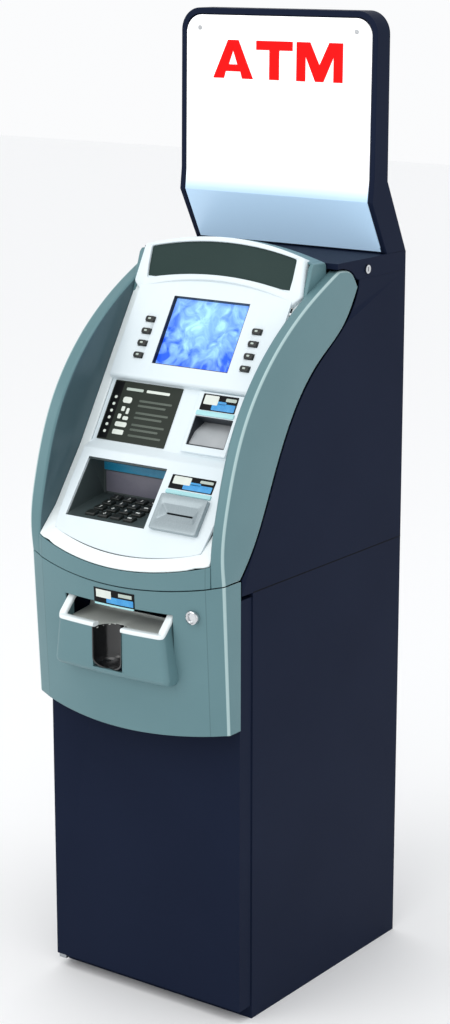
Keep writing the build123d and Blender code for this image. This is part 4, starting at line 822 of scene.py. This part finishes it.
def border_place(x, row, depth):
    """A point of the border and lip: rows run down to the panel's foot, then on to the lip's bowed edge."""
    wide = np.clip(np.abs(x), 0, PANEL_FOOT_HALF) * np.sign(x)
    bow_xs = np.linspace(0, CREASE[0], 20)
    edge_y = np.interp(np.abs(x), np.append(bow_xs, HALF),
                       np.append(bow(bow_xs, CREASE[1], BOW_Y), CORNER[1]))
    foot, nose = foot_z(wide), LIP_Z + (edge_y - BOW_Y) / LIP_SLOPE
    z = np.where(row <= 1, BORDER_TOP + (foot - BORDER_TOP) * row, foot + (nose - foot) * (row - 1))
    _, back_y, back_z = sunk(border_line, np.interp(-z, -border_line[:, 1], stops(border_line)), depth)
    return np.stack([np.where(np.abs(x) < PANEL_HALF - 0.4, narrowed(x, z), x), back_y, back_z], -1)


border_xs = np.append(np.linspace(-165, 165, 23),
                      [side * x for side in (-1, 1) for x in (WING_IN, 182, BORDER_HALF)])
rounded(plate("border_and_lip", border_xs, np.append(np.linspace(0, 1, 41), np.linspace(1, 2, 5)),
              [(-BORDER_HALF, BORDER_HALF, -1, 1)], border_place, 5.0,
              "fascia", "white_plastic", pale_rim, ("bezel_frame",)), 1.6, 3, 40.0)

# ---------------------------------------------------------------- inner panel
# One white moulding in three tiers with rounded brows: the screen above, a set-back middle, the keypad below.
# It has openings for the screen, the function keys, the receipt slot, the keypad's pocket and the card slot.

panel_white = finish("panel_white", (226, 236, 240), (212, 225, 231), 0.3, 0.42, grain=2200.0, patch=8.0,
                     bump=0.07, coat=0.2)
TIER_STEP = 14.0
panel_line = bent([(tier_y(UPPER, 1362.0), 1362.0), (tier_y(UPPER, 1152.0), 1152.0),
                   (tier_y(UPPER, 1145.0, TIER_STEP), 1145.0), (tier_y(UPPER, 1040.0, TIER_STEP), 1040.0),
                   (tier_y(LOWER, 1031.0), 1031.0), (tier_y(LOWER, 862.0), 862.0)], (8.0, 2.5, 4.0, 9.0), 9)
FLAT_Z, LOW_Z, HIGH_Z = 915.0, 876.0, 1352.0
KEY_X = 121.0
KEY_SIZE = (20.0, 11.0)
KEY_HOLE = (10.6, 6.0)
KEY_TOP, KEY_PITCH = 16.4, 24.2
POCKET = (-152.0, 28.0, 922.0, 1016.0)
CARD = (42.0, 146.0, 922.0, 978.0)
RECEIPT = (34.0, 134.0, 1055.0, 1103.0)
SCREEN_SIZE = (172.0, 136.0)
MIDDLE = (UPPER[0] + TIER_STEP * math.cos(UPPER[2]), UPPER[1] - TIER_STEP * math.sin(UPPER[2]), UPPER[2])
panel_s = stops(panel_line)


def panel_stop(z):
    """Distance down the panel's side-view line at height z."""
    return float(np.interp(-z, -panel_line[:, 1], panel_s))


def tier_stop(tier, v):
    """The same for a distance v up a tier."""
    return panel_stop(tier[1] + v * math.cos(tier[2]))


flat_s, last_s, first_s = panel_stop(FLAT_Z), panel_stop(LOW_Z), panel_stop(HIGH_Z)


def panel_place(x, s, depth):
    """A point of the panel; below the flat height its rows stretch to the bowed foot."""
    target = np.interp(-foot_z(x), -panel_line[:, 1], panel_s)
    s = np.where(s > flat_s, flat_s + (target - flat_s) * (s - flat_s) / (last_s - flat_s), s)
    place, y, z = sunk(panel_line, s, depth)
    return np.stack([narrowed(x, place[..., 1]), y, z], -1)


key_rows = [KEY_TOP - KEY_PITCH * row for row in range(4)]
panel_holes = [(-SCREEN_SIZE[0] / 2, SCREEN_SIZE[0] / 2,
                tier_stop(UPPER, SCREEN_SIZE[1] / 2), tier_stop(UPPER, -SCREEN_SIZE[1] / 2))]
panel_holes += [(x - KEY_HOLE[0], x + KEY_HOLE[0],
                 tier_stop(UPPER, v + KEY_HOLE[1]), tier_stop(UPPER, v - KEY_HOLE[1]))
                for x in (-KEY_X, KEY_X) for v in key_rows]
panel_holes += [(box[0] + side, box[1] - side, panel_stop(box[3] - end), panel_stop(box[2] + end))
                for box, side, end in ((RECEIPT, 8, 0), (POCKET, -0.5, -1), (CARD, 10, 6))]
panel_xs = np.append(np.linspace(-PANEL_HALF, PANEL_HALF, 29), [hole[:2] for hole in panel_holes])
panel_vs = np.concatenate([panel_s[(panel_s < flat_s) & (panel_s > first_s)], [first_s],
                           np.linspace(flat_s, last_s, 4), np.ravel([hole[2:] for hole in panel_holes])])
rounded(plate("inner_panel", panel_xs, panel_vs, panel_holes, panel_place, 5.0,
              "fascia", "white_plastic", panel_white, ("control_panel",)), 1.3, 3, 40.0)

# ---------------------------------------------------------------- header
# An arched visor moulding of the panel's white plastic, which leans back over the panel's top edge.
# Its two short legs run down over the border, and a smoked window is set into it.

HEADER = (-44.0, 1355.0, math.radians(19.6))
smoked = finish("smoked_window", (50, 66, 64), (40, 55, 53), 0.3, 0.4, grain=300.0, patch=5.0, bump=0.01,
                specular=0.06)


def header_ring(top_x, top_v, crown, side_v, leg_x, leg_v, lip_x, lip_v, valley, radius):
    """Points round the header, spaced alike for each ring so that rings can be joined."""
    xs = np.linspace(-top_x, top_x, 41)
    top = np.stack([xs, crown - (crown - top_v) * (xs / top_x) ** 2], -1)
    right = bent([top[-2], top[-1], side_v, (leg_x, leg_v), (lip_x, lip_v)], (radius, 9.0, 3.0), 7)
    xs = np.linspace(lip_x, -lip_x, 41)
    low = np.stack([xs, valley - (valley - lip_v) * (xs / lip_x) ** 2], -1)
    left = right[::-1] * (-1, 1)
    return np.vstack([top[1:-1], right[1:-1], low, left[1:-1]])


def outer_ring(i):
    """The header's outside, drawn in by an inset."""
    return header_ring(181 - i, 31 - i, 57 - i, (190 - i, -41), 171 - i * 0.4, -60 + i, 158, -49 + i * 0.7,
                       -27 + i * 0.7, 8 - min(i, 5))


def window_ring(g):
    """The window's opening, grown outwards, with as many points as the outside."""
    return header_ring(164 + g, 28 + g, 47 + g, (163.4 + g, -8), 161 + g, -32 - g, 158 + g, -32 - g,
                       -15 - g, 5 + g)


quarter = np.radians(np.linspace(0, 90, 6))
header_rings = [(outer_ring(0), -24.0), (outer_ring(0), -7.0)]
header_rings += [(outer_ring(5 * (1 - math.cos(a))), -5 + 5 * math.sin(a)) for a in quarter[1:]]
header_rings += [(window_ring(2 - 2 * math.sin(a)), -2 + 2 * math.cos(a)) for a in quarter]
header_rings += [(window_ring(0.0), -7.0), (window_ring(0.0), -24.0)]
looped("header_visor", [on_tier(HEADER, *ring.T, out) for ring, out in header_rings],
       "fascia", "white_plastic", panel_white, ("header_housing",), sharp=50.0)


def slab(name, loop, tier, low, high, edge, *rest, crown=0.0, **more):
    """A flat piece of an outline on a tier, with its front edge rounded over and its face crowned if asked."""
    centre = (loop.max(0) + loop.min(0)) / 2
    spread = loop - centre
    levels = [(low, 0.0)] + [(high - edge + edge * math.sin(a), edge * (1 - math.cos(a))) for a in quarter]
    rings = [on_tier(tier, *(spread * (1 - inset / np.abs(spread).max(0)) + centre).T, out)
             for out, inset in levels]
    rings += [on_tier(tier, *(spread * share + centre).T, high + crown * (1 - share ** 2))
              for share in ((0.66, 0.33, 0.04) if crown else (0.04,))]
    return capped(name, rings, *rest, **more)


slab("header_glass", window_ring(-0.4), HEADER, -7.0, -4.0, 0.5,
     "fascia", "dark_window", smoked, ("header_window",))

# ---------------------------------------------------------------- display
# A module behind the screen opening, with a black rubber gasket round its glass.
# The glass shows a lit picture of drifting blue, paler upwards and in the middle.

gasket_black = finish("gasket_black", (16, 17, 20), (10, 11, 13), 0.35, 0.5, grain=1500.0, patch=20.0)


def build_picture(tree, given):
    """Clouds of light blue over a deeper blue that pales upwards, with a soft glow in the middle."""
    place = grown(tree, "TexCoord", {}, "Object")
    height = grown(tree, "SeparateXYZ", {"Vector": place}, "Z")
    cloud, wisp = (
        grown(tree, "TexNoise", {"Vector": place, "Scale": given[scale], "Detail": detail, "Distortion": swirl})
        for scale, detail, swirl in (("Patch", 5.0, 1.1), ("Grain", 3.0, 3.5)))
    far = grown(tree, "VectorMath", {0: place, 1: (0.0, UPPER[0] * MM, UPPER[1] * MM + 0.01)}, "Value",
                operation="DISTANCE")
    total = ramp(tree, cloud, 0.36, 0.7, 0.05, 0.6)
    for part in (ramp(tree, height, 1.18, 1.31, -0.2, 0.16), ramp(tree, far, 0.0, 0.075, 0.42, 0.0)):
        total = grown(tree, "Math", {0: total, 1: part})
    return coated(tree, given, total, wisp, wisp)


picture = finish("lit_picture", (34, 82, 214), (168, 222, 252), 0.12, 0.2, grain=60.0, patch=34.0, bump=0.0,
                 specular=0.2, glow=0.62, group=texture_group("picture", build_picture))


def round_loop(x, v, width, height, radius, steps=5):
    """A rounded rectangle about (x, v) on a tier."""
    return round_section(width, height, radius, steps) + (x, v)


slab("display_glass", round_loop(0, 0, SCREEN_SIZE[0] - 2, SCREEN_SIZE[1] - 2, 1.0), UPPER, -11.0, -8.6, 0.2,
     "fascia", "screen", picture)
dressed("display_module", "lcd_screen", "fascia", gasket_black, 0.6)
looped("display_gasket",
       [on_tier(UPPER, *round_loop(0, 0, SCREEN_SIZE[0] - thin, SCREEN_SIZE[1] - thin, 1.2).T, out)
        for thin, out in ((0.4, -12.0), (0.4, -0.6), (1.0, -0.2), (2.6, -0.6), (3.2, -10.4), (3.2, -12.0))],
       "fascia", "black_plastic", gasket_black, sharp=50.0)

# ---------------------------------------------------------------- function keys
# Eight black rubber keys, four on each side of the screen, each with a pale mark in its middle.
# Each key slides in its own hole, so each is a piece of its own.

key_rubber = finish("key_rubber", (27, 33, 31), (20, 24, 23), 0.34, 0.48, grain=1800.0, patch=40.0, bump=0.12)
pale_mark = finish("pale_mark", (188, 200, 190), (170, 184, 176), 0.4, 0.55, grain=1200.0, patch=50.0,
                   bump=0.03)

for side, x in (("left", -KEY_X), ("right", KEY_X)):
    for row, v in enumerate(key_rows):
        key = "function_key_%s_%d" % (side, row + 1)
        slab(key + "_cap", round_loop(x, v, *KEY_SIZE, 3.6), UPPER, -6.0, 4.6, 1.8,
             key, "key_black", key_rubber, (key,), crown=0.4)
        slab(key + "_mark", round_loop(x, v, 6.4, 3.6, 1.5), UPPER, 4.4, 5.2, 0.2,
             key, "white_plastic", pale_mark)

# ---------------------------------------------------------------- instruction panel
# A smoked plate on the set-back middle tier, left of the receipt slot.
# Its printed shapes stand for the steps: dots, pictures and bars, with no words.

print_black, print_deep = (
    finish(name, base, shade, 0.3, rough, patch=patch, bump=0.03, specular=0.12)
    for name, base, shade, rough, patch in (("print_black", (50, 56, 50), (40, 46, 41), 0.42, 14.0),
                                            ("print_deep", (14, 16, 18), (10, 11, 13), 0.4, 30.0)))
print_grey, print_white = (
    finish(name, base, shade, 0.3, 0.4, patch=patch, bump=0.03)
    for name, base, shade, patch in (("print_grey", (84, 94, 84), (70, 80, 72), 30.0),
                                     ("print_white", (226, 232, 224), (205, 214, 206), 60.0)))
MIDDLE_SPAN = (1043.0, 1143.0)
INFO = (-162.0, -6.0, *MIDDLE_SPAN)


def panel_loop(tier, box, radius=1.5):
    """A rounded rectangle on a tier from left and right x and bottom and top z."""
    low, high = up(tier, box[2]), up(tier, box[3])
    return round_loop((box[0] + box[1]) / 2, (low + high) / 2, box[1] - box[0], high - low, radius)


slab("instruction_plate", panel_loop(MIDDLE, INFO), MIDDLE, 0.0, 2.0, 0.5,
     "fascia", "dark_window", print_black, ("info_panel",))


def print_spot(name, left, right, top, bottom, material, radius=1.0, lift=0.35):
    """A printed shape on the plate, placed by shares of the plate's width and height from its top left."""
    width, height = INFO[1] - INFO[0], INFO[3] - INFO[2]
    box = (INFO[0] + width * left, INFO[0] + width * right, INFO[3] - height * bottom, INFO[3] - height * top)
    slab(name, panel_loop(MIDDLE, box, radius), MIDDLE, 1.9, 2.0 + lift, 0.1,
         "fascia", "white_plastic", material)


print_spot("guide_strip", 0.015, 0.145, 0.02, 0.98, print_deep, 1.0, 0.15)
for dot, share in enumerate(np.linspace(0.28, 0.86, 6)):
    print_spot("guide_dot_%d" % (dot + 1), 0.065, 0.105, share - 0.022, share + 0.026, print_white, 2.4)
for bar, (left, right) in enumerate(((0.2, 0.45), (0.5, 0.84))):
    print_spot("guide_title_%d" % (bar + 1), left, right, 0.105, 0.15, print_white if bar else pale_mark, 1.5)
for icon, (left, right, top, bottom, radius) in enumerate((
        (0.2, 0.33, 0.26, 0.36, 4.5), (0.22, 0.27, 0.42, 0.5, 2.0), (0.3, 0.34, 0.44, 0.54, 2.0),
        (0.2, 0.25, 0.55, 0.63, 2.0), (0.28, 0.36, 0.58, 0.64, 2.5), (0.2, 0.37, 0.68, 0.76, 3.0),
        (0.2, 0.36, 0.81, 0.89, 2.0))):
    print_spot("guide_icon_%d" % (icon + 1), left, right, top, bottom, print_white, radius)
for line, share in enumerate((0.28, 0.36, 0.48, 0.56, 0.68, 0.76, 0.86)):
    print_spot("guide_line_%d" % (line + 1), 0.44, 0.92 - 0.07 * (line % 2), share, share + 0.035,
               print_grey, 1.5)

# ---------------------------------------------------------------- receipt slot
# A white surround on the middle tier with a printed picture and an aqua bar above its slot.
# Behind the dark walls of the slot a sloping pale chute leads from the printer and its paper roll.

print_blue = finish("print_blue", (28, 122, 196), (74, 172, 226), 0.25, 0.35, patch=70.0, bump=0.03)
bar_aqua = finish("bar_aqua", (176, 224, 226), (150, 208, 214), 0.22, 0.34, patch=40.0, bump=0.03, coat=0.3)
throat_dark = finish("throat_dark", (44, 52, 60), (30, 36, 44), 0.4, 0.55, grain=1200.0, patch=24.0,
                     bump=0.08)
chute_grey = finish("chute_grey", (196, 200, 202), (150, 156, 160), 0.32, 0.45, grain=1100.0, patch=18.0,
                    bump=0.05)


def ringed(name, rings, tier, *rest, **more):
    """A closed moulding through pairs of (loop, height) on a tier."""
    return looped(name, [on_tier(tier, *loop.T, out) for loop, out in rings], *rest, **more)


def grown_box(box, side, end):
    """A box (left, right, bottom, top) grown by a distance at each side and at each end."""
    return box[0] - side, box[1] + side, box[2] - end, box[3] + end


def lip_rings(tier, outer, inner, low, high, edge):
    """Rings of a flat surround with both front edges rounded over."""
    rings = [(panel_loop(tier, outer, 2.5), low)]
    for a in quarter:
        i = edge * (1 - math.cos(a))
        rings.append((panel_loop(tier, grown_box(outer, -i, -0.8 * i), 2.5 - i * 0.6),
                      high - edge + edge * math.sin(a)))
    for a in quarter:
        i = edge * (1 - math.sin(a))
        rings.append((panel_loop(tier, grown_box(inner, i, 0.8 * i), 1.5 + i * 0.5),
                      high - edge + edge * math.cos(a)))
    return rings + [(panel_loop(tier, inner, 1.5), low)]


RECEIPT_HOLE = grown_box(RECEIPT, -8, 0)
ringed("receipt_surround", lip_rings(MIDDLE, (*RECEIPT[:2], *MIDDLE_SPAN), RECEIPT_HOLE, 0.0, 6.0, 1.4),
       MIDDLE, "fascia", "white_plastic", panel_white, replaced=("receipt_bezel",), sharp=50.0)
THROAT_DEPTH, THROAT_LIP = -24.0, 4.6
throat_inside = grown_box(RECEIPT_HOLE, -1.2, -1)
ringed("receipt_throat", [(panel_loop(MIDDLE, box, 1.0), out) for box, out in (
    (RECEIPT_HOLE, THROAT_DEPTH), (RECEIPT_HOLE, THROAT_LIP), (throat_inside, THROAT_LIP),
    (throat_inside, THROAT_DEPTH))], MIDDLE, "fascia", "black_plastic", throat_dark, sharp=50.0)
dressed("receipt_printer_case", "receipt_printer", "fascia", chute_grey, 0.8)
paper_white = finish("paper_white", (244, 244, 240), (232, 232, 228), 0.6, 0.75, grain=2600.0, patch=30.0)
dressed("receipt_roll", "paper_roll", "paper", paper_white, 0.5)


def picture_label(name, tier, box, base_out):
    """A small printed picture: a dark ground, a blue field, a pale card and a pale hand-like patch."""
    left, right, low, high = box
    wide, tall = right - left, high - low
    for part, l, r, b, t, base, lift, edge, slot_name, material in (
            ("ground", 0, 1, 0, 1, -0.2, 0.5, 0.2, "black_plastic", print_deep),
            ("field", 0.32, 0.97, 0.06, 0.5, 0.4, 0.7, 0.1, "white_plastic", print_blue),
            ("card", 0.06, 0.46, 0.36, 0.92, 0.4, 0.8, 0.1, "white_plastic", print_white),
            ("patch", 0.66, 0.96, 0.66, 0.86, 0.4, 0.7, 0.1, "white_plastic", pale_mark),
            ("wave", 0.4, 0.7, 0.42, 0.62, 0.4, 0.7, 0.1, "white_plastic", print_blue)):
        loop = panel_loop(tier, (left + wide * l, left + wide * r, low + tall * b, low + tall * t),
                          1.5 if part == "ground" else 2.0)
        slab(name + "_" + part, loop, tier, base_out + base, base_out + lift, edge,
             "fascia", slot_name, material)


picture_label("receipt_picture", MIDDLE, (46.0, 124.0, 1113.0, 1140.0), 6.0)
slab("receipt_bar", panel_loop(MIDDLE, (42.0, 126.0, 1104.0, 1112.0), 2.5), MIDDLE, 5.8, 8.0, 1.2,
     "fascia", "white_plastic", bar_aqua)

# ---------------------------------------------------------------- card slot
# A satin silver mouth whose funnel narrows to the slot, on the lower tier to the right of the keypad.
# A printed picture and an aqua bar lie above it, and the reader's case is fixed behind it.

CARD_MIDDLE = (CARD[0] + CARD[1]) / 2, up(LOWER, 950.0)
mouth_silver = finish("mouth_silver", (168, 180, 184), (138, 152, 158), 0.24, 0.36, grain=2000.0, patch=12.0,
                      bump=0.06, metal=0.35, coat=0.2)


def card_loop(width, height, radius):
    """A rounded rectangle about the card slot."""
    return round_loop(*CARD_MIDDLE, width, height, radius)


card_wide, card_tall = CARD[1] - CARD[0], (CARD[3] - CARD[2]) / math.cos(LOWER[2])
mouth = [(card_loop(card_wide, card_tall, 4.0), 0.0)]
mouth += [(card_loop(card_wide - 2 * i, card_tall - 2 * i, 4.0), 7.0 + 2.0 * math.sin(a))
          for a in quarter for i in (2.0 * (1 - math.cos(a)),)]
mouth += [(card_loop(*size), out) for size, out in (
    ((84.0, 34.0, 5.0), 9.0), ((81.5, 31.5, 4.5), 8.2), ((60.0, 6.0, 1.8), 2.6), ((57.4, 3.6, 1.2), 2.0),
    ((57.0, 3.2, 1.0), 0.0))]
ringed("card_mouth", mouth, LOWER, "fascia", "silver", mouth_silver, replaced=("card_bezel",), sharp=40.0)
dressed("card_reader_case", "card_reader", "fascia", throat_dark, 0.8)
picture_label("card_picture", LOWER, (45.0, 142.0, 989.0, 1011.0), 0.0)
slab("card_bar", panel_loop(LOWER, (44.0, 144.0, 980.5, 987.0), 2.5), LOWER, -0.2, 2.4, 1.2,
     "fascia", "white_plastic", bar_aqua)

# ---------------------------------------------------------------- keypad
# A moulded tub sunk in the lower tier, with a printed panel and a teal strip on its rear wall.
# Its sixteen square-topped rubber keys carry pale numerals, or a pale bar on the four command keys; the two keys
# either side of the 0 are left blank.

tub_green = finish("tub_green", (62, 74, 74), (46, 56, 58), 0.38, 0.52, grain=1300.0, patch=12.0)
strip_teal = finish("strip_teal", (22, 118, 158), (40, 150, 186), 0.25, 0.36, patch=22.0, bump=0.03)
wall_lilac = finish("wall_lilac", (122, 120, 132), (96, 98, 112), 0.3, 0.42, patch=26.0, bump=0.04)
figure_white = finish("figure_white", (232, 236, 234), (214, 220, 218), 0.4, 0.5, patch=60.0, bump=0.02)
dressed("keypad_tub", "keypad_body", "fascia", tub_green, 0.6, joined=False)
REAR_WALL = (-200.0, 985.0, 0.0)
slab("tub_wall_print", panel_loop(REAR_WALL, (-146.0, 22.0, 944.0, 983.0), 1.5), REAR_WALL, -0.2, 0.6, 0.2,
     "fascia", "grey_plastic", wall_lilac)
slab("tub_strip", panel_loop(REAR_WALL, (-150.0, 24.0, 985.0, 1000.0), 1.5), REAR_WALL, -0.2, 1.2, 0.4,
     "fascia", "screen", strip_teal)
PAD = (-255.3, 931.5, math.radians(90.0 - 9.7))
PAD_X, PAD_KEY = -62.0, (22.0, 18.0)
PAD_PITCH_X, PAD_PITCH_Y = 29.0, 24.5


def figure(key, words, height, x, v, out):
    """A numeral of plain sans letters, a thin raised print centred on a key's top at (x, v)."""
    curve = bpy.data.curves.new(key, "FONT")
    curve.body = words
    curve.size = height
    curve.extrude = 0.12
    curve.align_x, curve.align_y = "CENTER", "CENTER"
    draft = bpy.data.objects.new(key + "_draft", curve)
    mesh = bpy.data.meshes.new_from_object(draft)
    bpy.data.objects.remove(draft)
    points = np.array([corner.co for corner in mesh.vertices])
    faces = [tuple(face.vertices) for face in mesh.polygons]
    bpy.data.meshes.remove(mesh)
    link(key + "_figure", on_tier(PAD, x + points[:, 0], v + points[:, 1], out + points[:, 2]), faces,
         key, "white_plastic", figure_white)


for index in range(16):
    row, column = divmod(index, 4)
    key = "keypad_key_%02d" % (index + 1)
    x, v = PAD_X + PAD_PITCH_X * (column - 1.5), PAD_PITCH_Y * (1.5 - row)
    slab(key + "_cap", round_loop(x, v, *PAD_KEY, 3.0), PAD, -4.6, 5.0, 2.0,
         key, "key_black", key_rubber, (key,), crown=-0.7)
    if column < 3 and (row < 3 or column == 1):
        figure(key, str((row * 3 + column + 1) % 11), 10.0, x, v, 4.75)
    elif column == 3:
        slab(key + "_figure", round_loop(x, v, 9.0, 3.2, 1.2), PAD, 4.4, 4.95, 0.1,
             key, "white_plastic", figure_white)

# ---------------------------------------------------------------- tray picture
# A printed strip on the fascia just above the cash tray, which swings out with the door.
# It has a dark ground with a pale note, a blue field and a pale patch, over an aqua bar.

TRAY_PICTURE = (-46.0, 46.0, 787.0, 814.0)
FASCIA_SLOPE = 0.0554
picture_wide, picture_tall = TRAY_PICTURE[1] - TRAY_PICTURE[0], TRAY_PICTURE[3] - TRAY_PICTURE[2]


def picture_place(x, z, depth):
    """A point of the fascia's bowed and leaning front at (x, z), sunk into it by a depth."""
    y = bow(x, CREASE[1], BOW_Y) + (SEAM_Z - z) * FASCIA_SLOPE + depth
    return np.stack([x, y, z], -1)


for part, (l, r, b, t), lift, material in (
        ("ground", (0, 1, 0, 1), 0.7, print_deep), ("field", (0.32, 0.97, 0.07, 0.5), 0.95, print_blue),
        ("card", (0.06, 0.44, 0.36, 0.9), 1.1, print_white),
        ("patch", (0.62, 0.94, 0.62, 0.86), 0.95, pale_mark), ("bar", (0.02, 0.98, -0.14, -0.02), 1.4, bar_aqua)):
    plate("tray_picture_" + part, TRAY_PICTURE[0] + picture_wide * np.linspace(l, r, 9),
          [TRAY_PICTURE[2] + picture_tall * share for share in (b, t)], [],
          lambda x, z, depth, lift=lift: picture_place(x, z, depth - lift), lift + 0.3,
          "door", "white_plastic", material)

# ---------------------------------------------------------------- topper sign
# A thin folded sheet box in the cabinet's navy, open in front, with a glowing white face that bends under.
# The word on it is cut from red film and two screws hold the face at its top corners.

dressed("sign_box", "sign_shell", "cabinet", navy, 1.3, 3)


def build_face(tree, given):
    """Base above the bend and a painted shade below it, where the face turns downwards, with the change spread
    over a few centimetres.
    """
    place = grown(tree, "TexCoord", {}, "Object")
    height = grown(tree, "SeparateXYZ", {"Vector": place}, "Z")
    grain, patch = (grown(tree, "TexNoise", {"Vector": place, "Scale": given[scale]})
                    for scale in ("Grain", "Patch"))
    return coated(tree, given, ramp(tree, height, 1.512, 1.474, 0.0, 1.0), patch, grain)


# The face's lower part, which turns downwards, is painted a darker blue-grey as shade.
face_glow = finish("face_glow", (255, 255, 255), (170, 199, 224), 0.25, 0.35, patch=12.0, bump=0.01,
                   glow=0.42, group=texture_group("face", build_face))
FACE_HALF, FACE_TOP, FACE_ROUND = 208.0, 1799.0, 34.0
SHEET_LINE = bent([(135.6, FACE_TOP), (131.6, 1509.0), (127.2, 1471.0), (176.4, 1375.5)], (30.0, 3.0), 7)


def sheet_place(x, row, depth):
    """A point of the face: its side-view line carried across, with quarter rounds at its top corners."""
    place, y, z = sunk(SHEET_LINE, row, depth)
    near = np.clip((place[..., 1] - FACE_TOP + FACE_ROUND) / FACE_ROUND, 0, 1)
    x = x * (1 - (1 - np.sqrt(1 - near ** 2)) * FACE_ROUND / FACE_HALF)
    return np.stack([x, y, z], -1)


corner_s = FACE_ROUND - FACE_ROUND * np.sin(np.radians(np.linspace(0, 90, 12)))
rounded(plate("sign_sheet", np.linspace(-FACE_HALF, FACE_HALF, 9), np.append(stops(SHEET_LINE), corner_s), [],
              sheet_place, 3.0, "cabinet", "sign_white", face_glow, ("sign_face",)), 0.6, 2, 40.0)
red_film = finish("red_film", (236, 8, 8), (222, 4, 6), 0.4, 0.5, patch=16.0, bump=0.02, glow=0.25,
                  specular=0.1)
dressed("sign_word", "sign_letters", "cabinet", red_film, 0.15)
dressed("sign_face_screws", "sign_screws", "cabinet", bright_zinc, 0.5)
tube_white = finish("tube_white", (250, 250, 244), (240, 242, 238), 0.2, 0.3, patch=20.0, bump=0.0, glow=1.2)
dressed("sign_tubes", "sign_lamps", "cabinet", tube_white, 0.5)
